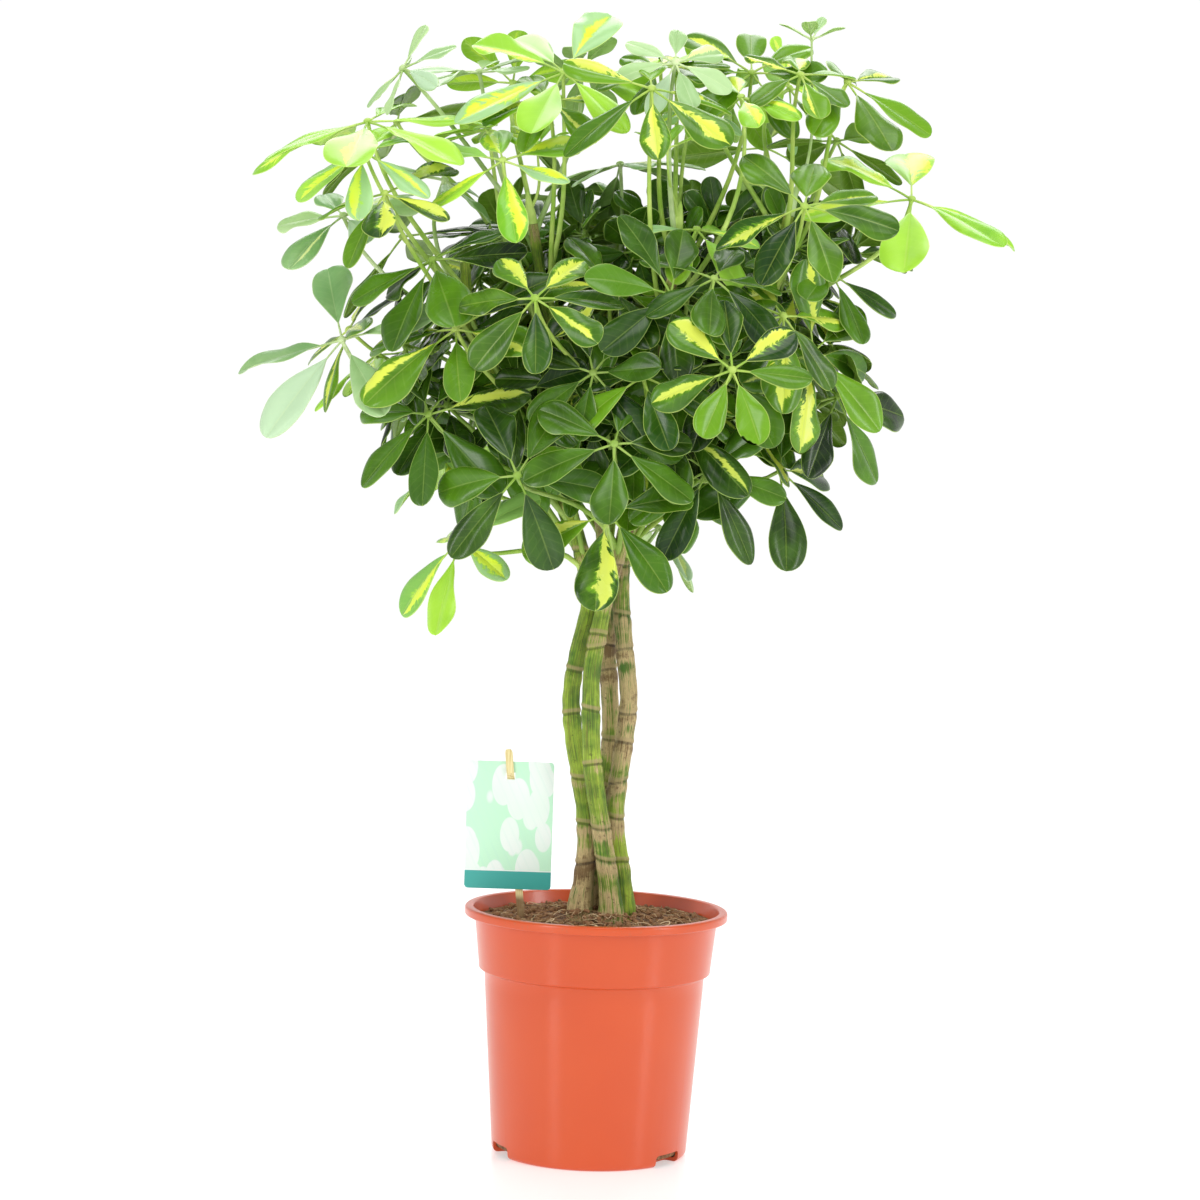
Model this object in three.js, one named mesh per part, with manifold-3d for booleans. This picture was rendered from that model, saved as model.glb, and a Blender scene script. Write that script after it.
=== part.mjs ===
/**
 * A potted umbrella plant: four stems trained into a lantern-shaped trunk, a crown of palmate
 * leaves, moist peat and a plain nursery pot with a label card on a stake.
 *
 * Millimetres, +Z up. The origin is the middle of the pot's underside, and the front is -Y.
 */
import * as THREE from 'three';
import { mergeVertices } from 'three/addons/utils/BufferGeometryUtils.js';
import Module from 'manifold-3d';

const wasm = await Module();
wasm.setup();

// ---------------------------------------------------------------- driving dimensions

const GAP = 0.35; // clearance between neighbouring solids

const POT = {
  height: 196,
  lipRadius: 105, // outer edge of the rolled lip
  lipHeight: 7,
  mouthRadius: 98, // inner edge of the lip
  bandTopRadius: 97, // smooth band under the lip
  bandBottomRadius: 92.5,
  stepHeight: 146, // ledge where the band meets the tapered body
  stepDepth: 4.5,
  footRadius: 78,
  wall: 2.5,
  floor: 3,
  sides: 24,
};

const NOTCH = { width: 30, height: 9.5, depth: 14, azimuths: [-36, -156, 84] }; // drain slots in the foot

const SOIL = { edgeHeight: 189, rise: 3, moundHeight: 201, moundRadius: 62 };

const CARD = { width: 69, height: 102, thickness: 1, bottom: 209.5, x: -71.5, y: -7, corner: 3 };
const SLIT = { width: 7.4, height: 5.6, z: 300 }; // the stake passes through the card here
const STAKE = {
  width: 6, thickness: 1.2,
  front: -9, back: -5, // y of its middle in front of the card and behind it
  tipX: -73.7, tipZ: 321.5,
  soilX: -61, soilZ: 198, // it leans: this is where it goes into the soil
  endZ: 150, endWidth: 2, endLength: 18,
  tipLength: 3,
  bend: 5, // height over which it passes through the slit
  holeWidth: 8,
};

const STEM = { baseRadius: 7.8, topRadius: 4.2, sides: 8, rings: 12, soilDepth: 50 };

// Middle lines of the stems from the soil up: the cage of the lantern, then the fan of the crown.
const STEM_ROUTES = {
  left: [
    [-13.5, -2, 190], [-10.5, -1, 221], [-9.5, 0, 255], [-14, 3, 290], [-22, 2, 330], [-25.4, 0, 366],
    [-20.5, -2, 404], [-13.8, -3, 440], [-24, -9, 490], [-45, -20, 545], [-80, -25, 600], [-112, -22, 650],
    [-120, -15, 705],
  ],
  front: [
    [12.5, -10, 190], [7, -12, 231], [0.5, -13, 268], [-6.6, -20, 312], [-9, -23, 345], [-9.5, -20, 385],
    [-4, -14.5, 425], [0, -13.5, 447], [14, -22, 500], [28, -32, 560], [38, -34, 640], [46, -26, 732],
  ],
  right: [
    [21.5, 6, 190], [19, 5, 219], [13, 2.5, 258], [13, 2.5, 284], [17.6, 4, 328], [20.4, 4, 364],
    [16, 2.5, 403], [12, 1, 445], [13, 4, 483], [32, 6, 525], [64, 4, 566], [98, -2, 622], [120, -8, 685],
    [134, -10, 750],
  ],
  back: [
    [3, 17, 190], [1, 15.5, 231], [1, 15, 265], [6, 21, 305], [7, 24, 338], [3, 20, 390], [0.5, 14, 428],
    [-1, 13.5, 450], [-8, 17, 520], [-30, 18, 600], [-56, 12, 680], [-68, 4, 738],
  ],
};

// Growing tips: a bud on top of a stem with a young leaf at this hub.
const TIPS = [
  { stem: 'front', at: [36, -48, 796], tone: 'lime' },
  { stem: 'right', at: [148, 4, 890], tone: 'pale' },
  { stem: 'back', at: [-66, 6, 800], tone: 'lime' },
];
const BUD = { length: 26, shoulder: 14, radius: 3.4, leafHeight: 12 };
const YOUNG = { reach: 32, leaflets: 4, scale: 0.6, droop: -40 };

// Side shoots at the rear of the crown, each carrying its own leaves.
const SHOOTS = [
  { stem: 'back', from: 560, route: [[-62, 56, 622], [-98, 94, 690], [-106, 106, 745]] },
  { stem: 'right', from: 520, route: [[62, 60, 590], [100, 94, 660], [112, 106, 740]] },
  { stem: 'back', from: 475, route: [[4, 66, 530], [14, 100, 600], [4, 114, 668]] },
];
const SHOOT = {
  baseRadius: 4.4, topRadius: 3, sides: 6, rings: 4, tone: 'dark',
  leaves: 4, reach: 78, leaflets: 4,
  leafless: 0.5, // share of the shoot below its first leaf
  fan: 190, // degrees that the leaves spread over, round the shoot's own direction
  stalkOut: 82, // how far out of the shoot a hub stands
  hubRise: 9.6, topRise: 72, // how far above its start the lowest hub stands, and the top one more
  lean: 0.5, // outward part of a leaf's axis, next to its upward part
  upright: 0.8,
};

// The stalk flares from its neck to the hub's brim, and the leaflets leave its flank between them.
const PETIOLE = {
  baseRadius: 2.3, topRadius: 1.5, neck: 5, hubRadius: 4, hubBrim: 2, hubRise: 3,
  sides: 4,
  middle: 0.5, // share of the stalk at its middle ring
  lean: 0.36, // how far the stalk keeps its first direction, as a share of its length
  outward: 0.8, // how much that direction leans out of the stem
};

const LEAFLET = {
  stalkEnd: 0.2, // share of the reach taken by the bare stalk
  stalkRadius: 0.9,
  stalkBroad: 1.4, // width of the bare stalk next to its height
  widthRatio: 0.42, // blade width to reach
  thickness: 1.4,
  waist: 0.5, // share of the reach where the blade has got nearly as wide as it gets
  waistWidth: 0.88,
  shoulder: 0.8, // share where it begins to close to its tip
  shoulderWidth: 0.92,
  shoulderThickness: 0.9,
  rootShare: -0.03, // the stalk's point lies inside the hub
  fold: 16, // degrees that each half rises from the midrib
  droop: 5, // degrees below the leaf's own plane at the hub
  curl: 0.13, // how far the tip falls, as a share of the reach
  fallBack: 0.5, // the tip falls back along the leaf's axis by this much
  fallDown: 0.4, // and straight down by this much
};

// How much leaflets differ from each other, in shares or degrees. The share `rise` of the range of
// droop and curl lies above the usual one, and the rest below it.
const SPREAD = { azimuth: 0.36, reach: 0.24, width: 0.24, droop: 30, curl: 0.2, twist: 40, rise: 0.4 };

// Where the crown's leaves leave their stems.
const CROWN = {
  underTop: 24, // the highest one starts this far under the end of the stem
  lowest: 462, // none starts lower than this
  underHub: 70, // the lowest one starts this far under its hub
  shortest: 60, // least height over which a stem's leaves are spread
};

// Leaves that face the front and sides, from the top of the crown down. at: hub. face: the way the
// umbrella of leaflets looks. reach: hub to tip of the leaflets. droop: degrees below the leaf's
// plane, where it isn't the usual one: young leaves at the top hold their leaflets up.
const LEAVES = [
  { stem: 'left', at: [-199, -20, 812], face: [-0.2, -0.35, 0.9], reach: 98, droop: -2, leaflets: 7, tone: 'lime' },
  { stem: 'left', at: [-198, -55, 785], face: [-0.3, -0.5, 0.8], reach: 60, leaflets: 6, tone: 'lime' },
  { stem: 'left', at: [-180, -75, 752], face: [-0.3, -0.5, 0.8], reach: 66, leaflets: 6, tone: 'flamed' },
  { stem: 'left', at: [-140, 25, 772], face: [0.4, -0.2, 0.8], reach: 52, leaflets: 5, tone: 'pale' },
  { stem: 'back', at: [-106, 10, 812], face: [-0.2, -0.1, 1], reach: 50, leaflets: 6, tone: 'lime' },
  { stem: 'back', at: [-91, -55, 782], face: [-0.1, -0.6, 0.8], reach: 72, leaflets: 6, tone: 'lime' },
  { stem: 'back', at: [-47, -10, 856], face: [0, -0.66, 0.75], reach: 88, droop: -5, leaflets: 7, tone: 'lime' },
  { stem: 'back', at: [-58, -38, 832], face: [-0.2, -0.5, 0.8], reach: 58, leaflets: 5, tone: 'flamed' },
  { stem: 'back', at: [-116, 55, 862], face: [-0.2, -0.2, 0.95], reach: 58, droop: -5, leaflets: 6, tone: 'pale' },
  { stem: 'front', at: [29, 0, 865], face: [-0.1, -0.5, 0.85], reach: 54, droop: -2, leaflets: 6, tone: 'flamed' },
  { stem: 'front', at: [22, -80, 838], face: [0, -0.6, 0.75], reach: 70, leaflets: 6, tone: 'flamed' },
  { stem: 'back', at: [0, 60, 792], face: [-0.1, 0.2, 1], reach: 64, leaflets: 6, tone: 'pale' },
  { stem: 'front', at: [56, 18, 835], face: [0.2, -0.3, 0.9], reach: 46, leaflets: 5, tone: 'lime' },
  { stem: 'front', at: [92, -40, 838], face: [-0.2, -0.4, 0.9], reach: 52, leaflets: 6, tone: 'lime' },
  { stem: 'front', at: [102, 20, 864], face: [0, -0.66, 0.75], reach: 66, droop: -10, leaflets: 7, tone: 'flamed' },
  { stem: 'right', at: [138, -30, 858], face: [0.1, -0.5, 0.85], reach: 52, droop: -2, leaflets: 6, tone: 'flamed' },
  { stem: 'right', at: [176, -10, 856], face: [0.35, -0.5, 0.8], reach: 74, droop: -2, leaflets: 7, tone: 'flamed' },
  { stem: 'right', at: [174, 55, 816], face: [0.4, 0.4, 0.8], reach: 58, leaflets: 6, tone: 'dark' },
  { stem: 'right', at: [140, -108, 750], face: [0, -0.75, 0.65], reach: 68, leaflets: 7, tone: 'flamed' },
  { stem: 'right', at: [230, -10, 766], face: [0.1, -0.4, 0.9], reach: 100, droop: -3, leaflets: 6, tone: 'lime' },
  { stem: 'left', at: [-216, -20, 738], face: [-0.3, -0.5, 0.8], reach: 64, droop: -2, leaflets: 6, tone: 'pale' },
  { stem: 'left', at: [-143, -50, 704], face: [-0.45, -0.5, 0.7], reach: 78, leaflets: 7, tone: 'dark' },
  { stem: 'left', at: [-211, 5, 650], face: [-0.7, -0.2, 0.7], reach: 64, leaflets: 5, tone: 'flamed' },
  { stem: 'left', at: [-122, -82, 650], face: [-0.3, -0.6, 0.7], reach: 86, leaflets: 6, tone: 'flamed' },
  { stem: 'left', at: [-212, -45, 640], face: [-0.2, -0.6, 0.75], reach: 88, droop: -3, leaflets: 6, tone: 'pale' },
  { stem: 'left', at: [-192, 40, 631], face: [-0.4, 0.2, 0.9], reach: 64, leaflets: 5, tone: 'lime' },
  { stem: 'front', at: [-61, -135, 673], face: [-0.1, -0.8, 0.6], reach: 68, leaflets: 7, tone: 'flamed' },
  { stem: 'back', at: [-38, -70, 612], face: [-0.3, -0.8, 0.5], reach: 60, leaflets: 5, tone: 'dark' },
  { stem: 'front', at: [-4, -60, 688], face: [0.1, -0.6, 0.8], reach: 70, leaflets: 6, tone: 'flamed' },
  { stem: 'front', at: [61, -35, 735], face: [0.1, -0.4, 0.9], reach: 56, leaflets: 6, tone: 'lime' },
  { stem: 'front', at: [74, -95, 694], face: [0.2, -0.6, 0.75], reach: 64, leaflets: 6, tone: 'dark' },
  { stem: 'right', at: [128, -84, 668], face: [0.3, -0.7, 0.6], reach: 68, leaflets: 6, tone: 'flamed' },
  { stem: 'right', at: [168, -25, 705], face: [0.4, -0.4, 0.8], reach: 68, leaflets: 6, tone: 'dark' },
  { stem: 'front', at: [88, -150, 624], face: [0, -0.95, 0.35], reach: 62, leaflets: 7, tone: 'flamed' },
  { stem: 'front', at: [22, -112, 618], face: [-0.2, -0.8, 0.55], reach: 62, leaflets: 6, tone: 'flamed' },
  { stem: 'right', at: [175, -35, 609], face: [0.6, -0.6, 0.5], reach: 78, leaflets: 6, tone: 'dark' },
  { stem: 'left', at: [-141, -80, 584], face: [-0.3, -0.75, 0.6], reach: 74, leaflets: 7, tone: 'dark' },
  { stem: 'front', at: [2, -134, 566], face: [0, -0.85, 0.5], reach: 66, leaflets: 6, tone: 'dark' },
  { stem: 'right', at: [74, -95, 548], face: [0.2, -0.85, 0.45], reach: 66, leaflets: 7, tone: 'dark' },
  { stem: 'right', at: [132, -40, 550], face: [0.5, -0.6, 0.5], reach: 76, leaflets: 7, tone: 'dark' },
  { stem: 'front', at: [-70, -138, 540], face: [0, -0.95, 0.4], reach: 74, leaflets: 6, tone: 'dark' },
  { stem: 'left', at: [-135, 5, 550], face: [-0.6, -0.2, 0.75], reach: 60, leaflets: 5, tone: 'lime' },
  { stem: 'front', at: [-2, -118, 514], face: [0, -0.85, 0.5], reach: 72, leaflets: 6, tone: 'flamed' },
  { stem: 'right', at: [40, 25, 500], face: [0.4, 0.1, 0.8], reach: 58, leaflets: 5, tone: 'pale' },
  { stem: 'left', at: [-116, -60, 487], face: [-0.5, -0.5, 0.6], reach: 70, leaflets: 6, tone: 'lime' },
];

// Bends tried in turn, from the natural one outwards, until a blade or leaf stalk is clear of all others.
const BENDS = {
  blade: 48, stalk: 30, // how many are tried
  turn: 137.5, bladeStep: 3.4, stalkStep: 4.2,
  shrink: 0.006, // a bent blade is shorter by this share for each bend tried
};

// Where each kind of leaf starts its run of numbers, and the steps from one to the next.
const SEEDS = { leaf: 1000, leafStep: 77, shoot: 9000, shootStep: 500, tip: 7000 };

const COLOURS = {
  pot: [0xdf653e, 0.42],
  soil: [0x3d2616, 0.95],
  card: [0xdcebe4, 0.5],
  stake: [0xe6dcae, 0.6],
  bark: [0x7c7a3c, 0.8],
  dark: [0x2c5a2b, 0.4],
  flamed: [0x86a445, 0.42],
  lime: [0x8fbf3d, 0.45],
  pale: [0xa9bd92, 0.5],
};

// ---------------------------------------------------------------- small tools

const UP = new THREE.Vector3(0, 0, 1);
const rad = THREE.MathUtils.degToRad;
const plant = new THREE.Group();

const vec = (x, y, z) => new THREE.Vector3(x, y, z);
const along = (from, direction, distance) => from.clone().addScaledVector(direction, distance);

/** The same run of numbers between 0 and 1 for the same seed. */
function seeded(seed) {
  let state = seed;
  return () => {
    state = (state * 1664525 + 1013904223) % 4294967296;
    return state / 4294967296;
  };
}

/** The largest single body of a solid: scraps left by a cut are dropped. */
function mainBody(solid) {
  return solid.decompose().reduce((best, body) => (body.volume() > best.volume() ? body : best));
}

/** Two directions across an axis. */
function across(axis) {
  const first = vec(0, 0, 0).crossVectors(axis, Math.abs(axis.z) < 0.95 ? UP : vec(0, 1, 0)).normalize();
  return [first, vec(0, 0, 0).crossVectors(axis, first)];
}

/** A closed geometry as a solid that can be joined and cut. */
function toSolid(geometry) {
  geometry.deleteAttribute('normal');
  geometry.deleteAttribute('uv');
  const merged = mergeVertices(geometry, 1e-4);
  return new wasm.Manifold(new wasm.Mesh({
    numProp: 3,
    vertProperties: Float32Array.from(merged.attributes.position.array),
    triVerts: Uint32Array.from(merged.index.array),
  }));
}

/** A solid as a geometry for a mesh. */
function toGeometry(solid) {
  const { vertProperties, triVerts } = solid.getMesh();
  const geometry = new THREE.BufferGeometry();
  geometry.setAttribute('position', new THREE.BufferAttribute(vertProperties, 3));
  geometry.setIndex(new THREE.BufferAttribute(triVerts, 1));
  geometry.computeVertexNormals();
  return geometry;
}

/** Adds a named piece of the plant. */
function addPiece(name, solid, tone) {
  const [color, roughness] = COLOURS[tone];
  const material = new THREE.MeshStandardMaterial({ color, roughness, metalness: 0 });
  const mesh = new THREE.Mesh(toGeometry(solid), material);
  mesh.name = name;
  plant.add(mesh);
}

/**
 * A closed skin over rings of points. A ring of one point closes an end, and a wider end ring gets a
 * flat cap. Neighbouring quads are split in mirrored pairs, so a thin blade's two faces match.
 */
function loft(rings) {
  const sides = Math.max(...rings.map((ring) => ring.length));
  const points = rings.flat();
  const starts = rings.map((_, i) => rings.slice(0, i).reduce((sum, ring) => sum + ring.length, 0));
  const index = [];
  for (let i = 0; i + 1 < rings.length; i++) {
    for (let j = 0; j < sides; j++) {
      const next = (j + 1) % sides;
      const [a, b] = [starts[i] + j, starts[i] + next];
      const [c, d] = [starts[i + 1] + next, starts[i + 1] + j];
      if (rings[i].length === 1) index.push(starts[i], c, d);
      else if (rings[i + 1].length === 1) index.push(a, b, starts[i + 1]);
      else if (j % 2 === 0) index.push(a, b, c, a, c, d);
      else index.push(a, b, d, b, c, d);
    }
  }
  for (const end of [0, rings.length - 1]) {
    for (let j = 1; j + 1 < rings[end].length; j++) {
      const fan = [starts[end], starts[end] + j, starts[end] + j + 1];
      index.push(...(end === 0 ? fan.reverse() : fan));
    }
  }
  const geometry = new THREE.BufferGeometry().setFromPoints(points);
  geometry.setIndex(index);
  return geometry;
}

/** Rings round the stations of a middle line, each { at, tangent, radius }, carried along untwisted. */
function tubeRings(stations, sides) {
  const side = across(stations[0].tangent)[0];
  return stations.map(({ at, tangent, radius }) => {
    side.addScaledVector(tangent, -side.dot(tangent)).normalize();
    const other = vec(0, 0, 0).crossVectors(tangent, side);
    return Array.from({ length: sides }, (_, j) => {
      const angle = (2 * Math.PI * j) / sides;
      return along(along(at, side, radius * Math.cos(angle)), other, radius * Math.sin(angle));
    });
  });
}

/** A station of a tube along a curve. */
function station(curve, share, radius) {
  return { at: curve.getPoint(share), tangent: curve.getTangent(share), radius };
}

/** The box round a list of rings. */
function boxOf(rings) {
  return new THREE.Box3().setFromPoints(rings.flat());
}

// Everything that a later blade or stalk has to keep clear of: { solid, box, owner }.
const placed = [];

/** Adds a solid that the next ones keep clear of. */
function place(solid, box, owner) {
  placed.push({ solid, box, owner });
}

/** Whether a solid touches none of the others. */
function isApart(solid, box, others) {
  return others.every((other) => {
    if (!other.box.intersectsBox(box)) return true;
    const shared = other.solid.intersect(solid);
    const apart = shared.isEmpty();
    shared.delete();
    return apart;
  });
}

// ---------------------------------------------------------------- pot and soil

/** An outline of [radius, z] points turned round the upright axis. */
function lathe(profile) {
  const points = profile.map(([radius, z]) => new THREE.Vector2(radius, z));
  return toSolid(new THREE.LatheGeometry(points, POT.sides).rotateX(Math.PI / 2));
}

// The pot's inner wall at the step and at the band's top, and the height where the band ends.
const innerStep = POT.bandBottomRadius - POT.wall;
const innerTop = POT.bandTopRadius - POT.wall;
const bandTop = POT.height - POT.lipHeight;

/** The pot's shell with its drain slots. */
function buildPot() {
  const underStep = POT.bandBottomRadius - POT.stepDepth;
  const shell = lathe([
    [0, 0], [POT.footRadius - 4, 0], [POT.footRadius - 1.2, 1.2], [POT.footRadius, 4],
    [underStep, POT.stepHeight - 1], [POT.bandBottomRadius, POT.stepHeight + 1],
    [POT.bandTopRadius, bandTop - 1], [POT.lipRadius - 0.6, bandTop],
    [POT.lipRadius, POT.height - 1.8], [POT.lipRadius - 1.8, POT.height],
    [POT.mouthRadius + 0.6, POT.height], [POT.mouthRadius, POT.height - 1], [innerTop, bandTop - 3],
    [innerStep, POT.stepHeight + POT.wall], [underStep - POT.wall, POT.stepHeight + POT.wall - 2],
    [POT.footRadius - POT.wall, POT.floor + 2], [POT.footRadius - POT.wall - 2, POT.floor], [0, POT.floor],
  ]);
  const notches = NOTCH.azimuths.map((azimuth) => {
    const box = new THREE.BoxGeometry(NOTCH.depth * 2, NOTCH.width, NOTCH.height * 2);
    return toSolid(box.translate(POT.footRadius, 0, 0).rotateZ(rad(azimuth)));
  });
  return notches.reduce((pot, notch) => pot.subtract(notch), shell);
}

/** Soil that fills the pot, a gap clear of its walls, with a plain hole for each thing that stands in it. */
function buildSoil(holes) {
  const body = lathe([
    [0, POT.floor + GAP], [POT.footRadius - POT.wall - 2 - GAP, POT.floor + GAP],
    [POT.footRadius - POT.wall - GAP, POT.floor + 2 + GAP],
    [innerStep - POT.stepDepth - GAP, POT.stepHeight + POT.wall - 2],
    [innerStep - GAP, POT.stepHeight + POT.wall + 0.5],
    [innerTop - GAP, bandTop - 3], [innerTop - GAP, SOIL.edgeHeight],
    [SOIL.moundRadius, SOIL.edgeHeight + SOIL.rise], [SOIL.moundRadius / 2, SOIL.moundHeight - SOIL.rise],
    [0, SOIL.moundHeight],
  ]);
  return holes.reduce((soil, hole) => soil.subtract(hole), body);
}

// ---------------------------------------------------------------- label

/** The card, with round corners and a slit for the stake. */
function buildCard() {
  const { width, height, thickness, corner } = CARD;
  const outline = new THREE.Shape();
  outline.moveTo(-width / 2 + corner, 0);
  outline.lineTo(width / 2 - corner, 0);
  outline.absarc(width / 2 - corner, corner, corner, -Math.PI / 2, 0);
  outline.absarc(width / 2 - corner, height - corner, corner, 0, Math.PI / 2);
  outline.absarc(-width / 2 + corner, height - corner, corner, Math.PI / 2, Math.PI);
  outline.absarc(-width / 2 + corner, corner, corner, Math.PI, 1.5 * Math.PI);
  const sheet = { depth: thickness, bevelEnabled: false, curveSegments: 2 };
  const card = new THREE.ExtrudeGeometry(outline, sheet);
  card.rotateX(Math.PI / 2).translate(CARD.x, CARD.y + thickness / 2, CARD.bottom);
  const slit = new THREE.BoxGeometry(SLIT.width, thickness * 4, SLIT.height);
  slit.translate(stakeX(SLIT.z), CARD.y, SLIT.z);
  return toSolid(card).subtract(toSolid(slit));
}

/** The stake leans a little: its middle at a height. */
function stakeX(z) {
  return THREE.MathUtils.mapLinear(z, STAKE.soilZ, STAKE.tipZ, STAKE.soilX, STAKE.tipX);
}

/** Four corners of the stake at a height. */
function stakeRing(z, y, width, thickness = STAKE.thickness) {
  const [x, half] = [stakeX(z), thickness / 2];
  return [vec(x - width / 2, y - half, z), vec(x + width / 2, y - half, z),
    vec(x + width / 2, y + half, z), vec(x - width / 2, y + half, z)];
}

/** The stake: pointed in the soil, behind the card, then through the slit to its front. */
function buildStake() {
  const { width, back, front, endZ, endWidth, endLength, tipZ, tipLength, bend } = STAKE;
  return toSolid(loft([
    stakeRing(endZ, back, endWidth), stakeRing(endZ + endLength, back, width),
    stakeRing(SLIT.z - bend / 2, back, width), stakeRing(SLIT.z + bend / 2, front, width),
    stakeRing(tipZ - tipLength, front, width), stakeRing(tipZ, front, width / 2),
  ]));
}

/** The hole that the stake has made in the soil. */
function stakeHole() {
  const thickness = STAKE.thickness + 2 * GAP;
  return toSolid(loft([STAKE.endZ - GAP, SOIL.moundHeight + GAP].map((z) => (
    stakeRing(z, STAKE.back, STAKE.holeWidth, thickness)
  ))));
}

// ---------------------------------------------------------------- stems

/** A stem's middle line: straight down in the soil, then its route. */
function stemCurve(name) {
  const route = STEM_ROUTES[name].map((point) => vec(...point));
  const foot = route[0].clone();
  foot.z -= STEM.soilDepth;
  return new THREE.CatmullRomCurve3([foot, ...route], false, 'centripetal');
}

const stemCurves = Object.fromEntries(Object.keys(STEM_ROUTES).map((name) => [name, stemCurve(name)]));

/** The place along a stem's curve, 0 to 1, at a height. */
function stemShare(name, z) {
  let [low, high] = [0, 1];
  for (let step = 0; step < 30; step++) {
    const middle = (low + high) / 2;
    if (stemCurves[name].getPoint(middle).z < z) low = middle;
    else high = middle;
  }
  return (low + high) / 2;
}

/** A stem tapers slowly at first. */
function stemRadius(share) {
  return THREE.MathUtils.lerp(STEM.baseRadius, STEM.topRadius, share * share);
}

/** A stem's solid and its box, thicker all round by extra. */
function stemSolid(name, extra) {
  const curve = stemCurves[name];
  const stations = Array.from({ length: STEM.rings + 1 }, (_, i) => (
    station(curve, i / STEM.rings, stemRadius(i / STEM.rings) + extra)
  ));
  stations[0].at.addScaledVector(UP, -extra);
  stations[STEM.rings].at.addScaledVector(stations[STEM.rings].tangent, extra);
  const rings = tubeRings(stations, STEM.sides);
  return { solid: toSolid(loft(rings)), box: boxOf(rings) };
}

// ---------------------------------------------------------------- leaves

/** The k-th bend to try: nothing first, then ever wider turns in all directions. */
function bendAt(k, step) {
  const size = step * Math.sqrt(k);
  return [size * Math.cos(rad(BENDS.turn * k)), size * Math.sin(rad(BENDS.turn * k))];
}

/** The middle line of a leaf stalk: up and out of its stem, then in under the hub. */
function stalkCurve(leaf, k) {
  const chord = leaf.hub.distanceTo(leaf.start);
  const [right, ahead] = across(leaf.hub.clone().sub(leaf.start).normalize());
  const [sideways, forward] = bendAt(k, BENDS.stalkStep);
  const out = leaf.hub.clone().sub(leaf.start).setZ(0).normalize();
  const lean = chord * PETIOLE.lean;
  const first = along(along(leaf.start, UP, lean), out, lean * PETIOLE.outward);
  const second = along(leaf.hub, leaf.axis, -lean);
  for (const handle of [first, second]) {
    handle.addScaledVector(right, sideways).addScaledVector(ahead, forward);
  }
  return new THREE.CubicBezierCurve3(leaf.start, first, second, leaf.hub);
}

/** Rings of a leaf stalk from its stem to the hub on its end. */
function stalkRings(leaf, k, extra) {
  const curve = stalkCurve(leaf, k);
  const stations = [0, PETIOLE.middle].map((share) => {
    const radius = THREE.MathUtils.lerp(PETIOLE.baseRadius, PETIOLE.topRadius, share);
    return station(curve, share, radius * leaf.scale + extra);
  });
  const neck = along(leaf.hub, leaf.axis, -PETIOLE.neck * leaf.scale);
  stations.push({ at: neck, tangent: leaf.axis, radius: PETIOLE.topRadius * leaf.scale + extra });
  const brim = along(leaf.hub, leaf.axis, PETIOLE.hubBrim * leaf.scale);
  stations.push({ at: brim, tangent: leaf.axis, radius: PETIOLE.hubRadius * leaf.scale + extra });
  const crest = along(leaf.hub, leaf.axis, PETIOLE.hubRise * leaf.scale + extra);
  return [...tubeRings(stations, PETIOLE.sides), [crest]];
}

/** One leaflet's own size and attitude within its leaf. */
function leafletSizes(leaf) {
  const draw = seeded(leaf.seed);
  const vary = (whole, middle) => whole * (draw() - middle);
  const turn = draw() * 360;
  return Array.from({ length: leaf.leaflets }, (_, i) => {
    const azimuth = turn + (360 * (i + vary(SPREAD.azimuth, 0.5))) / leaf.leaflets;
    const reach = leaf.reach * (1 + vary(SPREAD.reach, 0.5));
    return {
      azimuth,
      reach,
      width: reach * LEAFLET.widthRatio * (1 + vary(SPREAD.width, 0.5)),
      droop: (leaf.droop ?? LEAFLET.droop) + vary(SPREAD.droop, SPREAD.rise),
      curl: LEAFLET.curl + vary(SPREAD.curl, SPREAD.rise),
      twist: vary(SPREAD.twist, 0.5),
    };
  });
}

/** Rings of a leaflet: round stalk, then a folded blade of diamond section that ends in a point. */
function leafletRings(leaf, size, k, extra) {
  const [swing, lift] = bendAt(k, BENDS.bladeStep);
  const [u, v] = across(leaf.axis);
  const azimuth = rad(size.azimuth + swing);
  const droop = rad(size.droop + lift);
  const radial = u.multiplyScalar(Math.cos(azimuth)).addScaledVector(v, Math.sin(azimuth));
  const out = along(radial.clone().multiplyScalar(Math.cos(droop)), leaf.axis, -Math.sin(droop));
  const fall = along(leaf.axis.clone().multiplyScalar(-LEAFLET.fallBack), UP, -LEAFLET.fallDown);
  const reach = size.reach * (1 - BENDS.shrink * k) + extra;
  const flat = vec(0, 0, 0).crossVectors(radial, leaf.axis);
  const section = (share, halfWidth, halfThickness) => {
    const centre = along(along(leaf.hub, out, reach * share), fall, reach * size.curl * share * share);
    const tangent = along(out, fall, 2 * size.curl * share).normalize();
    const side = along(flat, tangent, -flat.dot(tangent)).normalize();
    side.applyAxisAngle(tangent, rad(size.twist * share));
    const top = vec(0, 0, 0).crossVectors(side, tangent);
    const [wide, high] = [Math.cos(rad(LEAFLET.fold)), Math.sin(rad(LEAFLET.fold))].map((x) => x * halfWidth);
    return [
      along(along(centre, side, -wide - extra), top, high), along(centre, top, halfThickness + extra),
      along(along(centre, side, wide + extra), top, high), along(centre, top, -halfThickness - extra),
    ];
  };
  const [half, thick, stalk] = [size.width / 2, LEAFLET.thickness / 2, LEAFLET.stalkRadius];
  const point = (share) => [section(share, 0, -extra)[1]];
  return [
    point(LEAFLET.rootShare),
    section(LEAFLET.stalkEnd, stalk * LEAFLET.stalkBroad, stalk),
    section(LEAFLET.waist, half * LEAFLET.waistWidth, thick),
    section(LEAFLET.shoulder, half * LEAFLET.shoulderWidth, thick * LEAFLET.shoulderThickness),
    point(1),
  ];
}

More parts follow.
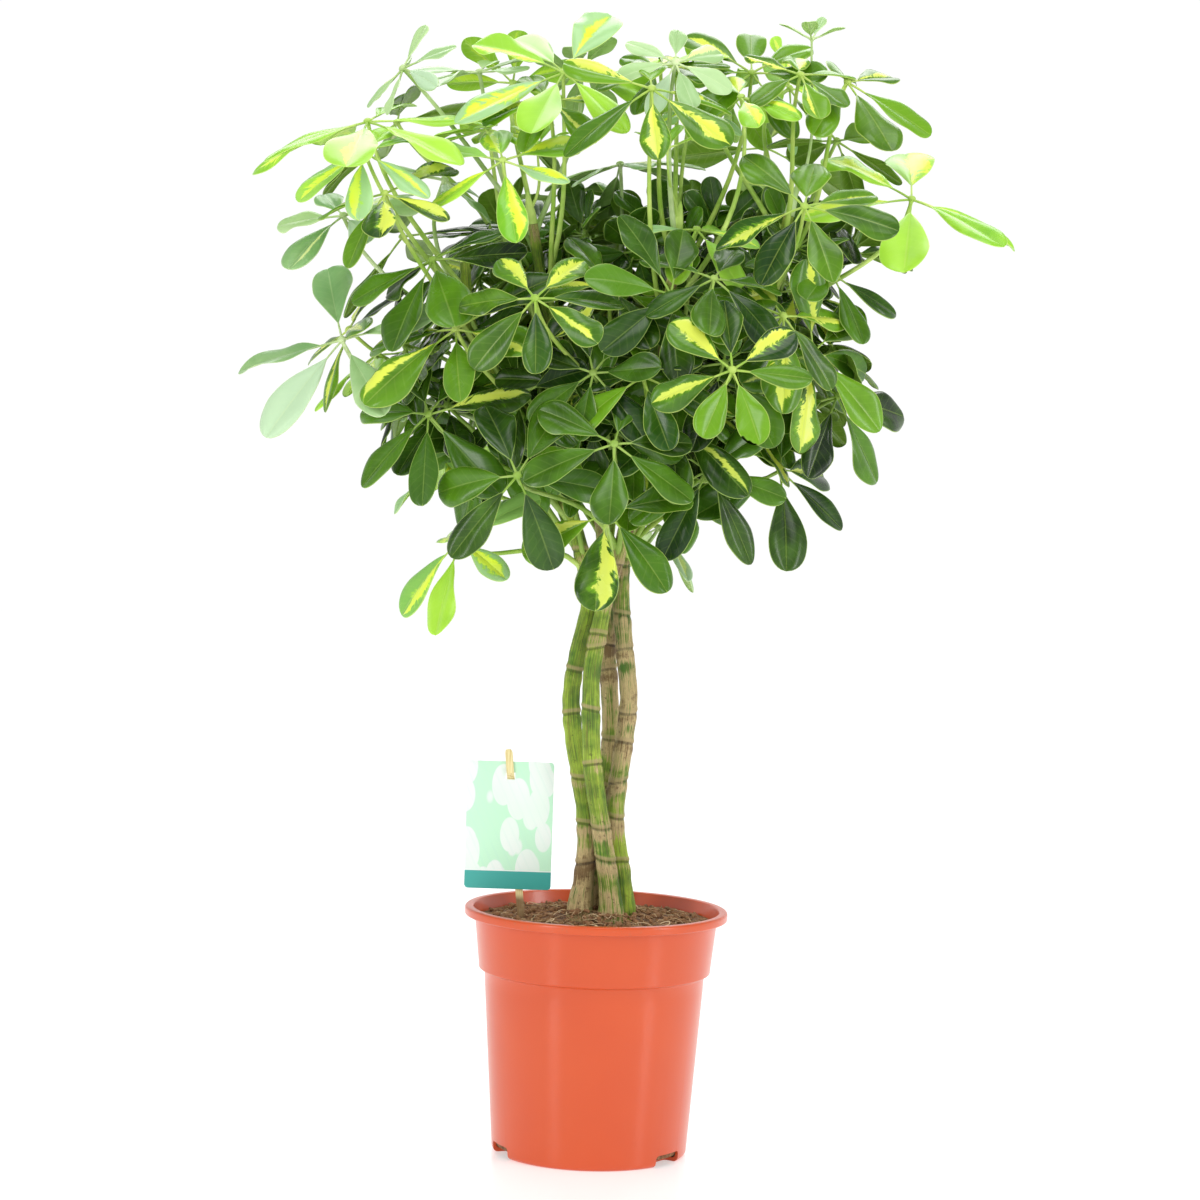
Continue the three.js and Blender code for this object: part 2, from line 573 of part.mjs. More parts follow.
/** Whether the piece that has these rings stays clear of the others. */
function ringsApart(rings, others) {
  const solid = toSolid(loft(rings));
  const apart = isApart(solid, boxOf(rings), others);
  solid.delete();
  return apart;
}

/**
 * The first bend that keeps a piece clear of all that belongs to others, or null where none does. A
 * bend that also keeps its blade clear of its own leaf's blades comes first.
 */
function firstClear(rings, tries, owners, blade, siblings) {
  const others = placed.filter((other) => !owners.includes(other.owner));
  let fallback = null;
  for (let k = 0; k < tries; k++) {
    if (!ringsApart(rings(k, GAP), others)) continue;
    if (!blade || ringsApart(blade(k, GAP), siblings)) return k;
    fallback ??= k;
  }
  return fallback;
}

/** Grows the stalk of a leaf from the bark of its stem to its hub. */
function growStalk(leaf) {
  const owners = [leaf.name, `stem_${leaf.stem}`];
  const k = firstClear((bend, extra) => stalkRings(leaf, bend, extra), BENDS.stalk, owners, null, []);
  if (k === null) throw new Error(`${leaf.name} has no clear way for its stalk`);
  const rings = stalkRings(leaf, k, 0);
  leaf.solid = mainBody(toSolid(loft(rings)).subtract(stemHoles[leaf.stem]));
  place(leaf.solid, boxOf(rings), leaf.name);
}

/**
 * Grows the leaflets of a leaf, clear of their own neighbours too where a bend allows it. A leaflet
 * that no bend keeps clear of the other leaves doesn't grow.
 */
function growLeaflets(leaf) {
  const blades = [];
  for (const size of leafletSizes(leaf)) {
    const whole = (bend, extra) => leafletRings(leaf, size, bend, extra);
    const apart = (bend, extra) => [whole(bend, extra)[1].slice(0, 1), ...whole(bend, extra).slice(2)];
    const k = firstClear(whole, BENDS.blade, [leaf.name], blades.length ? apart : null, blades);
    if (k === null) continue;
    const rings = whole(k, 0);
    const solid = toSolid(loft(rings));
    blades.push({ solid: toSolid(loft(apart(k, 0))), box: boxOf(rings) });
    place(solid, boxOf(rings), leaf.name);
    leaf.solid = leaf.solid.add(solid);
  }
}

// ---------------------------------------------------------------- assembly

addPiece('pot', buildPot(), 'pot');

const stemNames = Object.keys(STEM_ROUTES);
const stems = Object.fromEntries(stemNames.map((name) => [name, stemSolid(name, 0)]));
const stemHoles = Object.fromEntries(stemNames.map((name) => [name, stemSolid(name, GAP).solid]));
addPiece('soil', buildSoil([...Object.values(stemHoles), stakeHole()]), 'soil');
addPiece('label_card', buildCard(), 'card');
addPiece('label_stake', buildStake(), 'stake');
for (const name of stemNames) {
  addPiece(`stem_${name}`, stems[name].solid, 'bark');
  place(stems[name].solid, stems[name].box, `stem_${name}`);
}

/** A leaf that is ready to grow, from its table row or rule. */
function leafAt(name, seed, row) {
  const axis = row.axis ?? vec(...row.face).normalize();
  const hub = row.hub ?? vec(...row.at);
  return { scale: 1, ...row, name, seed, axis, hub };
}

/** The front and side leaves. On a stem, lower hubs spring from lower down, evenly spaced. */
function crownLeaves() {
  const leaves = LEAVES.map((row, i) => (
    leafAt(`leaf_${String(i + 1).padStart(2, '0')}`, SEEDS.leaf + SEEDS.leafStep * i, row)
  ));
  for (const name of stemNames) {
    const own = leaves.filter((leaf) => leaf.stem === name).sort((a, b) => a.hub.z - b.hub.z);
    const top = STEM_ROUTES[name].at(-1)[2] - CROWN.underTop;
    const low = Math.min(Math.max(CROWN.lowest, own[0].hub.z - CROWN.underHub), top - CROWN.shortest);
    own.forEach((leaf, i) => {
      const z = THREE.MathUtils.lerp(low, top, i / (own.length - 1));
      leaf.start = stemCurves[name].getPoint(stemShare(name, z));
    });
  }
  return leaves;
}

/** A side shoot: its own thin stem with leaves spread round the way it grows. */
function buildShoot(shoot, i) {
  const name = `shoot_${i + 1}`;
  const foot = stemCurves[shoot.stem].getPoint(stemShare(shoot.stem, shoot.from));
  const curve = new THREE.CatmullRomCurve3([foot, ...shoot.route.map((point) => vec(...point))]);
  const stations = Array.from({ length: SHOOT.rings + 1 }, (_, j) => j / SHOOT.rings).map((share) => (
    station(curve, share, THREE.MathUtils.lerp(SHOOT.baseRadius, SHOOT.topRadius, share))
  ));
  const rings = tubeRings(stations, SHOOT.sides);
  const solid = mainBody(toSolid(loft(rings)).subtract(stemHoles[shoot.stem]));
  place(solid, boxOf(rings), name);
  const away = curve.getPoint(1).sub(foot).setZ(0).normalize();
  const leaves = Array.from({ length: SHOOT.leaves }, (_, j) => {
    const share = THREE.MathUtils.lerp(SHOOT.leafless, 1, j / (SHOOT.leaves - 1));
    const place = ((j * 2) % SHOOT.leaves) / (SHOOT.leaves - 1); // from one side of the fan to the other
    const side = away.clone().applyAxisAngle(UP, rad(SHOOT.fan * (place - 0.5)));
    const start = curve.getPoint(share);
    const rise = SHOOT.hubRise + SHOOT.topRise * share * share;
    const hub = along(along(start, side, SHOOT.stalkOut), UP, rise);
    const axis = along(side.clone().multiplyScalar(SHOOT.lean), UP, SHOOT.upright).normalize();
    const { reach, leaflets } = SHOOT;
    const seed = SEEDS.shoot + SEEDS.shootStep * i + SEEDS.leafStep * j;
    return leafAt(name, seed, { stem: shoot.stem, start, hub, axis, reach, leaflets });
  });
  return { name, solid, leaves, tone: SHOOT.tone };
}

/** A growing tip: a bud that carries on its stem, with a young leaf. */
function buildTip(tip) {
  const name = `tip_${tip.stem}`;
  const curve = stemCurves[tip.stem];
  const [end, direction] = [curve.getPoint(1), curve.getTangent(1)];
  const bud = [[GAP, STEM.topRadius], [BUD.shoulder, BUD.radius]].map(([rise, radius]) => (
    { at: along(end, direction, rise), tangent: direction, radius }
  ));
  const rings = [...tubeRings(bud, SHOOT.sides), [along(end, direction, BUD.length)]];
  const solid = toSolid(loft(rings));
  place(solid, boxOf(rings), name);
  const start = along(end, direction, BUD.leafHeight);
  const leaf = leafAt(name, SEEDS.tip, { ...YOUNG, stem: tip.stem, at: tip.at, start, axis: UP.clone() });
  return { name, solid, leaves: [leaf], tone: tip.tone };
}

const leaves = crownLeaves();
const sprays = [...SHOOTS.map(buildShoot), ...TIPS.map(buildTip)];
const allLeaves = [...leaves, ...sprays.flatMap((spray) => spray.leaves)];
for (const leaf of allLeaves) growStalk(leaf);
for (const leaf of allLeaves) growLeaflets(leaf);
for (const leaf of leaves) addPiece(leaf.name, leaf.solid, leaf.tone);
for (const { name, solid, leaves: own, tone } of sprays) {
  addPiece(name, own.reduce((whole, leaf) => whole.add(leaf.solid), solid), tone);
}

export default plant;
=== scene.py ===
"""The looks of a potted umbrella plant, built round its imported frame.

Metres, +Z up. The origin is the middle of the pot's underside, and the front is -Y. The rules that
place the stems and leaves work in millimetres, as the frame's source does.
"""
import logging
import math
from collections.abc import Callable, Iterator
from contextlib import contextmanager
from dataclasses import dataclass, field
from enum import Enum
from typing import Any

import bmesh
import bpy
import numpy as np
from mathutils import Matrix, Vector, noise
from mathutils.kdtree import KDTree


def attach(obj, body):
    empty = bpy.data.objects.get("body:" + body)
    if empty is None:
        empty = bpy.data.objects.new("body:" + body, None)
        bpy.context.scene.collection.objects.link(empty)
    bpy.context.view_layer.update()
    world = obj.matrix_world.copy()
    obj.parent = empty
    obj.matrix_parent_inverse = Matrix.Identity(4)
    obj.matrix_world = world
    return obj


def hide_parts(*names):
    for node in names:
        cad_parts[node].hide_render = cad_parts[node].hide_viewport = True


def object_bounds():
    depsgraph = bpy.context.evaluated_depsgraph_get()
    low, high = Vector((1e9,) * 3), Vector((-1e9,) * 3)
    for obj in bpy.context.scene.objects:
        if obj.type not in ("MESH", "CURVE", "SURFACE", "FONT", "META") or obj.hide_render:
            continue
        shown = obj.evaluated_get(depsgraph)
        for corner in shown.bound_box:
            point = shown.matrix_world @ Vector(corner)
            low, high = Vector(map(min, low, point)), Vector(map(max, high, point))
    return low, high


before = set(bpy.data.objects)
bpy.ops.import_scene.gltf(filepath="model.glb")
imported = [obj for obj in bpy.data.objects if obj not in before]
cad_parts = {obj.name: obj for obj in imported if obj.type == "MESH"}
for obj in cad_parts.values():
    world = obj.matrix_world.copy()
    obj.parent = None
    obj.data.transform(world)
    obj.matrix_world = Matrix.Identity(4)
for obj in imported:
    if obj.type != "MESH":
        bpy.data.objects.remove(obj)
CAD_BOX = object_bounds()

log = logging.getLogger("umbrella_plant")

MM = 0.001
GAP = 0.35  # mm between neighbouring solids of the frame
MOST_CUTS = 100  # what the subdivide operator cuts at once
QUARTER_TURN = 1.5708
UP = np.array((0.0, 0.0, 1.0))
Pair = tuple[float, float]
Triple = tuple[float, float, float]
Colour = Triple
Faces = list[tuple[int, ...]]
Stations = list[tuple[np.ndarray, np.ndarray, float]]  # place, direction and radius of each ring


def srgb(red: int, green: int, blue: int) -> Colour:
    """A screen colour, 0 to 255 a channel, as linear light."""
    return tuple(((c / 255 + 0.055) / 1.055) ** 2.4 if c > 10 else c / 3294.6 for c in (red, green, blue))


class Tone(Enum):
    """Kinds of leaf, each with the name that its finish is made under."""

    DARK = "leaf_dark"
    FLAMED = "leaf_flamed"
    LIME = "leaf_lime"
    PALE = "leaf_pale"


class Part(Enum):
    """What a point of a leaf belongs to, as its attribute says."""

    UPPER = 0.0
    UNDER = 1.0
    STALK = 2.0


class Grit(Enum):
    """What a point of the soil belongs to, as its attribute says."""

    PEAT = 0.0
    CRUMB = 0.5
    FIBRE = 1.0


# ---------------------------------------------------------------- modelling bench


class Bench:
    """Blender's own modelling operators, with every selection made in code."""

    @staticmethod
    def clear() -> None:
        """Leaves nothing selected."""
        for item in bpy.context.selected_objects:
            item.select_set(False)

    @staticmethod
    def only(piece: bpy.types.Object) -> None:
        """Selects one object and makes it active."""
        Bench.clear()
        piece.select_set(True)
        bpy.context.view_layer.objects.active = piece

    @staticmethod
    def start(kind: str, name: str, **sizes: Any) -> bpy.types.Object:
        """Adds a mesh primitive.

        Args:
            kind: The primitive, as its operator is named: plane, circle, cylinder, grid and so on.
            name: Name of the new object.
            **sizes: The operator's own sizes and place.

        Returns:
            The new object, selected and active.
        """
        Bench.clear()
        getattr(bpy.ops.mesh, f"primitive_{kind}_add")(**sizes)
        piece = bpy.context.active_object
        piece.name = piece.data.name = name
        return piece

    @staticmethod
    @contextmanager
    def edit(piece: bpy.types.Object) -> Iterator[bmesh.types.BMesh]:
        """Edit mode, entered with nothing selected and left at the end."""
        Bench.only(piece)
        bpy.ops.object.mode_set(mode="EDIT")
        bpy.ops.mesh.select_all(action="DESELECT")
        yield bmesh.from_edit_mesh(piece.data)
        bpy.ops.object.mode_set(mode="OBJECT")

    @staticmethod
    def pick(piece: bpy.types.Object, mode: str, wanted: Callable[[Any], bool]) -> None:
        """Selects the vertices, edges or faces of an edited mesh that a test wants.

        Args:
            piece: The object in edit mode.
            mode: VERT, EDGE or FACE.
            wanted: Test of one element.
        """
        bpy.ops.mesh.select_all(action="DESELECT")
        bpy.context.tool_settings.mesh_select_mode = tuple(mode == m for m in ("VERT", "EDGE", "FACE"))
        mesh = bmesh.from_edit_mesh(piece.data)
        for element in {"VERT": mesh.verts, "EDGE": mesh.edges, "FACE": mesh.faces}[mode]:
            element.select_set(bool(wanted(element)))
        mesh.select_flush_mode()
        bmesh.update_edit_mesh(piece.data)

    @staticmethod
    def pick_all() -> None:
        """Selects the whole of an edited mesh."""
        bpy.ops.mesh.select_all(action="SELECT")

    @staticmethod
    def face_out() -> None:
        """Turns all faces of an edited mesh outwards."""
        Bench.pick_all()
        bpy.ops.mesh.normals_make_consistent(inside=False)

    @staticmethod
    def modify(piece: bpy.types.Object, kind: str, **settings: Any) -> None:
        """Adds a modifier and applies it.

        Args:
            piece: The object that gets it.
            kind: The modifier's type.
            **settings: Its settings.
        """
        Bench.only(piece)
        modifier = piece.modifiers.new(kind.title(), kind)
        for key, value in settings.items():
            setattr(modifier, key, value)
        bpy.ops.object.modifier_apply(modifier=modifier.name)

    @staticmethod
    def cut(piece: bpy.types.Object, tool: bpy.types.Object) -> None:
        """Cuts a tool out of a piece and throws the tool away."""
        Bench.modify(piece, "BOOLEAN", operation="DIFFERENCE", solver="EXACT", object=tool)
        bpy.data.objects.remove(tool)

    @staticmethod
    def bevel(piece: bpy.types.Object, width: float, segments: int, sharp: float) -> None:
        """Rounds, by a width in mm, the edges that are sharper than an angle in degrees."""
        limit = {"limit_method": "ANGLE", "angle_limit": math.radians(sharp)}
        Bench.modify(piece, "BEVEL", width=width * MM, segments=segments, **limit)

    @staticmethod
    def smooth(piece: bpy.types.Object, degrees: float = 40.0) -> None:
        """Shades a piece smooth except across edges sharper than an angle."""
        Bench.only(piece)
        bpy.ops.object.shade_smooth_by_angle(angle=math.radians(degrees))

    @staticmethod
    def settle(piece: bpy.types.Object) -> None:
        """Moves an object's place into its mesh."""
        Bench.only(piece)
        bpy.ops.object.transform_apply(location=True, rotation=True, scale=True)

    @staticmethod
    def spun(name: str, profile: list[Pair], steps: int) -> bpy.types.Object:
        """Turns an outline round the upright axis.

        Args:
            name: Name of the new object.
            profile: Radius and height of each point, in mm, from axis to axis.
            steps: Faces round the turn.

        Returns:
            The closed shape.
        """
        piece = Bench.start("plane", name, size=2 * MM)
        with Bench.edit(piece) as mesh:
            corner = mesh.verts[:][0].co.copy()
            Bench.pick(piece, "VERT", lambda v: (v.co - corner).length > 1e-6)
            bpy.ops.mesh.delete(type="VERT")
            Bench.pick_all()
            first, *others = (Vector((radius, 0, height)) * MM for radius, height in profile)
            bpy.ops.transform.translate(value=first - corner)
            for at, target in zip([first, *others], others):
                bpy.ops.mesh.extrude_vertices_move(TRANSFORM_OT_translate={"value": target - at})
            Bench.pick_all()
            bpy.ops.mesh.spin(steps=steps, angle=math.tau, center=(0, 0, 0), axis=(0, 0, 1))
            Bench.pick_all()
            bpy.ops.mesh.remove_doubles(threshold=1e-5)
            Bench.face_out()
        return piece

    @staticmethod
    def box(name: str, centre: Triple, size: Triple, turn: float = 0.0) -> bpy.types.Object:
        """A block for cutting, in mm, turned about the upright axis by degrees."""
        block = Bench.start("cube", name, size=1)
        block.data.transform(Matrix.Diagonal(Vector(size) * MM).to_4x4())
        block.data.transform(Matrix.Translation(Vector(centre) * MM))
        block.data.transform(Matrix.Rotation(math.radians(turn), 4, "Z"))
        return block


@dataclass
class Pattern:
    """A shape that is modelled once and laid in many places, each copy with its own points."""

    points: np.ndarray
    faces: Faces

    @classmethod
    def of(cls, piece: bpy.types.Object) -> "Pattern":
        """Takes the shape of an object and throws the object away."""
        points = np.empty(len(piece.data.vertices) * 3)
        piece.data.vertices.foreach_get("co", points)
        faces = [tuple(face.vertices) for face in piece.data.polygons]
        bpy.data.objects.remove(piece)
        return cls(points.reshape(-1, 3), faces)

    @classmethod
    def tube(cls, sides: int, rings: int) -> "Pattern":
        """A closed tube of radius 1 from z 0 to 1, with rings evenly along it.

        A tube with more rings than the operator cuts at once is first cut into fewer of them, and
        each of these is then halved.

        Args:
            sides: Faces round the tube.
            rings: Faces along it.

        Returns:
            The tube.
        """
        halvings = max(0, math.ceil(math.log2(rings / MOST_CUTS)))
        piece = Bench.start("cylinder", "tube", vertices=sides, radius=1, depth=1, location=(0, 0, 0.5))
        Bench.settle(piece)
        with Bench.edit(piece):
            for cuts in (rings // 2**halvings - 1, *[1] * halvings):
                Bench.pick(piece, "EDGE", lambda e: abs(e.verts[0].co.z - e.verts[1].co.z) > 1e-4)
                bpy.ops.mesh.subdivide(number_cuts=cuts)
        return cls.of(piece)

    @classmethod
    def blade(cls, wide: int, long: int) -> "Pattern":
        """A thin sheet, x -1 to 1 across, y 0 to 1 along, and z -0.5 and 0.5 for its two faces.

        It is cut into triangles first, alike on both faces, or they cross where the sheet is bent.
        """
        piece = Bench.start("grid", "blade", x_subdivisions=wide, y_subdivisions=long, size=2)
        with Bench.edit(piece):
            Bench.pick_all()
            bpy.ops.transform.translate(value=(0, 1, 0))
            bpy.ops.transform.resize(value=(1, 0.5, 1), center_override=(0, 0, 0))
            bpy.ops.mesh.quads_convert_to_tris(quad_method="FIXED")
        Bench.modify(piece, "SOLIDIFY", thickness=1, offset=0)
        return cls.of(piece)

    @classmethod
    def crumb(cls) -> "Pattern":
        """A lump of radius about 1."""
        piece = Bench.start("ico_sphere", "crumb", subdivisions=2, radius=1)
        with Bench.edit(piece):
            Bench.pick_all()
            bpy.ops.transform.vertex_random(offset=0.22, seed=5)
            bpy.ops.transform.resize(value=(1, 0.8, 0.7), center_override=(0, 0, 0))
        return cls.of(piece)


@dataclass
class Assembly:
    """Copies of patterns gathered into one mesh, with attributes that its finish reads."""

    points: list[np.ndarray] = field(default_factory=list)
    faces: Faces = field(default_factory=list)
    marks: dict[str, list[np.ndarray]] = field(default_factory=dict)
    skins: list[int] = field(default_factory=list)
    count: int = 0

    def add(self, points: np.ndarray, faces: Faces, **marks: np.ndarray | Triple) -> None:
        """Adds one copy.

        Args:
            points: Its points in mm.
            faces: Its faces.
            **marks: Values of three numbers for each point, or for all of them.
        """
        self.points.append(points)
        self.faces.extend(tuple(i + self.count for i in face) for face in faces)
        self.count += len(points)
        for name, values in marks.items():
            whole = np.broadcast_to(np.asarray(values, float), (len(points), 3))
            self.marks.setdefault(name, []).append(whole)

    def add_tube(self, tube: Pattern, stations: Stations, **marks: np.ndarray | Triple) -> None:
        """Adds a copy of a tube, laid along stations."""
        self.add(laid(tube, stations), tube.faces, **marks)

    def piece(self, name: str) -> bpy.types.Object:
        """Makes the object, which is held inside the CAD model's box.

        Args:
            name: Its name.

        Returns:
            The new object, smooth except at its sharp edges.
        """
        points = np.clip(np.concatenate(self.points) * MM, *map(np.array, CAD_BOX))
        mesh = bpy.data.meshes.new(name)
        mesh.from_pydata(points, [], self.faces)
        for key, parts in self.marks.items():
            values = mesh.attributes.new(key, "FLOAT_VECTOR", "POINT")
            values.data.foreach_set("vector", np.concatenate(parts).astype(np.float32).ravel())
        if self.skins:
            mesh.polygons.foreach_set("material_index", self.skins)
        piece = bpy.data.objects.new(name, mesh)
        bpy.context.scene.collection.objects.link(piece)
        Bench.smooth(piece, 50)
        return piece


# ---------------------------------------------------------------- shader expressions


def operation(kind: str, reflected: bool = False) -> Callable[..., "Wire"]:
    """A method that works out one operation of the Math node.

    Args:
        kind: The node's operation.
        reflected: Whether the other value comes before the wire.

    Returns:
        The method.
    """

    def method(wire: "Wire", *others: "Wire | float") -> "Wire":
        """The operation on a wire and the others."""
        values = (*others, wire) if reflected else (wire, *others)
        return wire.net.node("ShaderNodeMath", {"operation": kind}, dict(enumerate(values)))

    return method


class Wire:
    """A shader socket that can stand in an expression of numbers."""

    def __init__(self, net: "Net", socket: bpy.types.NodeSocket) -> None:
        """Wraps a socket of a net."""
        self.net, self.socket = net, socket

    __add__ = __radd__ = operation("ADD")
    __sub__ = operation("SUBTRACT")
    __rsub__ = operation("SUBTRACT", reflected=True)
    __mul__ = __rmul__ = operation("MULTIPLY")
    __abs__ = operation("ABSOLUTE")
    fraction = operation("FRACT")  # what is left above a whole number
    wave = operation("SINE")
    least = operation("MINIMUM")  # the smaller of two

    def rise(self, low: "Wire | float", high: "Wire | float") -> "Wire":
        """0 up to low, 1 from high, and a soft step between them."""
        settings = {"interpolation_type": "SMOOTHSTEP", "clamp": True}
        sockets = {"Value": self, "From Min": low, "From Max": high}
        return self.net.node("ShaderNodeMapRange", settings, sockets)

    def fade(self, low: "Wire | float", high: "Wire | float") -> "Wire":
        """1 up to low, 0 from high, and a soft step between them."""
        return 1 - self.rise(low, high)


class Net:
    """A material's nodes."""

    def __init__(self, name: str) -> None:
        """Starts a material with a Principled shader."""
        self.material = bpy.data.materials.new(name)
        self.material.use_nodes = True
        self.tree = self.material.node_tree
        self.shader = self.tree.nodes["Principled BSDF"]

    def node(
        self, kind: str, settings: dict[str, Any], sockets: dict[Any, Any], output: int | str = 0
    ) -> Wire:
        """Makes a node.

        Args:
            kind: The node's type.
            settings: Its own settings, and under "stops" the places and colours of a ramp.
            sockets: Values or wires, by the input's name or number.
            output: The output that is wanted.

        Returns:
            That output.
        """
        made = self.tree.nodes.new(kind)
        for key, value in settings.items():
            if key == "stops":
                ramp = made.color_ramp.elements
                while len(ramp) < len(value):
                    ramp.new(1.0)
                for stop, (place, colour) in zip(ramp, value):
                    stop.position, stop.color = place, (*colour, 1)
            else:
                setattr(made, key, value)
        for key, value in sockets.items():
            self.feed(made.inputs[key], value)
        return Wire(self, made.outputs[output])

    def feed(self, socket: bpy.types.NodeSocket, value: Any) -> None:
        """Links or sets an input."""
        if isinstance(value, Wire):
            self.tree.links.new(value.socket, socket)
        elif isinstance(value, tuple) and len(socket.default_value) == 4:
            socket.default_value = (*value, 1)
        else:
            socket.default_value = value

    def mark(self, name: str) -> Wire:
        """A vector attribute of the mesh."""
        return self.node("ShaderNodeAttribute", {"attribute_name": name}, {}, "Vector")

    def place(self) -> Wire:
        """Object coordinates."""
        return self.node("ShaderNodeTexCoord", {}, {}, "Object")

    def parts(self, vector: Wire) -> tuple[Wire, Wire, Wire]:
        """The three numbers of a vector."""
        first = self.node("ShaderNodeSeparateXYZ", {}, {0: vector})
        outputs = first.socket.node.outputs
        return first, Wire(self, outputs[1]), Wire(self, outputs[2])

    def vector(self, x: Wire | float, y: Wire | float, z: Wire | float) -> Wire:
        """A vector of three numbers."""
        return self.node("ShaderNodeCombineXYZ", {}, {0: x, 1: y, 2: z})

    def scaled(self, vector: Wire, by: Triple) -> Wire:
        """A vector times a number for each axis."""
        return self.node("ShaderNodeVectorMath", {"operation": "MULTIPLY"}, {0: vector, 1: by})

    def noise(self, vector: Wire, scale: float, detail: float = 2.0, rough: float = 0.5) -> Wire:
        """Cloudy noise about 0.5."""
        sockets = {"Vector": vector, "Scale": scale, "Detail": detail, "Roughness": rough}
        return self.node("ShaderNodeTexNoise", {}, sockets)

    def cells(self, vector: Wire, scale: float) -> Wire:
        """Distance to the nearest of many scattered points."""
        return self.node("ShaderNodeTexVoronoi", {}, {"Vector": vector, "Scale": scale})

    def mix(self, share: Wire | float, first: Wire | Colour, second: Wire | Colour) -> Wire:
        """The first colour, turned into the second by a share."""
        return self.node("ShaderNodeMix", {"data_type": "RGBA"}, {0: share, 6: first, 7: second}, 2)

    def ramp(self, value: Wire, stops: list[tuple[float, Colour]]) -> Wire:
        """A colour for each value."""
        return self.node("ShaderNodeValToRGB", {"stops": stops}, {0: value})

    def finish(
        self,
        colour: Wire | Colour,
        roughness: Wire | float,
        height: Wire | None = None,
        depth: float = 0.0,
        **constants: float,
    ) -> bpy.types.Material:
        """Feeds the shader.

        Args:
            colour: Base colour.
            roughness: Roughness.
            height: Relief, 0 to 1.
            depth: What a relief of 1 stands for, in mm.
            **constants: Other sockets of the shader, with _ for a blank.

        Returns:
            The material.
        """
        self.feed(self.shader.inputs["Base Color"], colour)
        self.feed(self.shader.inputs["Roughness"], roughness)
        if height is not None:
            sockets = {"Height": height, "Distance": depth * MM, "Strength": 1.0}
            self.feed(self.shader.inputs["Normal"], self.node("ShaderNodeBump", {}, sockets))
        for key, value in constants.items():
            self.shader.inputs[key.replace("_", " ")].default_value = value
        return self.material


# ---------------------------------------------------------------- finishes


@dataclass(frozen=True)
class LeafSkin:
    """Finish of one kind of leaf: glossy blade with veins, a pale margin and a flame on the midrib."""

    tone: Tone
    deep: Colour
    light: Colour
    flame: Colour
    under: Colour
    margin: Colour
    stalk: Colour
    # A second colour that leaflets picked at random take, and its share: another green on dark and flamed
    # leaves, a painted pale sheen on lime and pale ones.
    tone_and_painted_sheen: Colour
    tone_and_painted_sheen_share: float = 0.5
    gloss: float = 0.2
    veins: float = 8.5  # pairs of them along a blade
    painted_top_light: Pair = (730.0, 850.0)  # heights between which painted top light brightens the crown's colour
    relief: float = 0.12

    def material(self) -> bpy.types.Material:
        """Makes the material."""
        net = Net(f"{self.tone.value}_skin")
        across, share, rim = net.parts(net.mark("blade"))
        seed, flame, part = net.parts(net.mark("leaf"))
        off = abs(across)
        vein_run = share * self.veins - off * 1.5
        vein = abs(vein_run.fraction() - 0.5).rise(0.36, 0.5) * off.fade(0.7, 0.95)
        midrib = off.fade(0.015, 0.055)
        cloud = net.noise(net.place(), 38, 3)
        swell = net.noise(net.place(), 45, 1)
        feather = net.noise(net.vector(vein_run * 1.2, seed * 40 + across * 0.8, off * 0.6), 2.0, 3, 0.65)
        patch = net.noise(net.vector(across * 0.6, share * 1.6, seed * 53), 2.2, 2)
        own = (seed * 7.31).fraction()
        _, _, high = net.parts(net.place())
        # Painted light: leaves take on their light colour towards the top of the crown.
        painted_top_light = high.rise(*(height * MM for height in self.painted_top_light))

        body = net.mix((cloud * 0.7 + seed * 0.6 - 0.15).rise(0.1, 0.85), self.deep, self.light)
        body = net.mix(painted_top_light * 0.5, body, self.light)
        # Leaflets picked at random turn towards the second colour, which on lime and pale leaves is a painted
        # sheen.
        body = net.mix(own.rise(0.5, 0.95) * self.tone_and_painted_sheen_share, body, self.tone_and_painted_sheen)
        body = net.mix(vein * 0.05, body, self.margin)
        shift = (seed - 0.5) * (0.3 + patch * 1.5)
        reach = flame * (feather * 1.1 - 0.1 + (patch - 0.5) * 1.5) * share.rise(-0.05, 0.12)
        reach = reach * share.fade(0.7, 1.04)
        side = abs(across - shift)
        lit = flame.rise(0.0, 0.1)
        halo = (reach * 1.4 + (cloud - 0.5) * 0.2 - side).rise(-0.12, 0.2) * lit
        core = (reach - side).rise(-0.03, 0.06) * lit
        body = net.mix(halo * 0.85, body, self.light)
        body = net.mix(core, body, net.mix(cloud.rise(0.35, 0.65) * 0.35, self.flame, self.margin))
        body = net.mix(midrib * 0.25, body, self.margin)
        body = net.mix(rim.fade(0.2, 0.65) * 0.75, body, self.margin)
        belly = net.mix(core * 0.5, self.under, self.flame)
        belly = net.mix(vein * 0.3 + midrib * 0.4, belly, self.margin)
        body = net.mix(part.rise(0.4, 0.6), body, belly)
        stem = net.mix(cloud.rise(0.3, 0.7), self.stalk, self.margin)
        body = net.mix(part.rise(1.4, 1.6), body, stem)

        rough = self.gloss + cloud * 0.12 + part * 0.12
        height = (1 - vein * 0.15 - midrib * 0.7) * 0.6 + swell * 0.6
        return net.finish(body, rough, height, self.relief, Specular_IOR_Level=0.38)


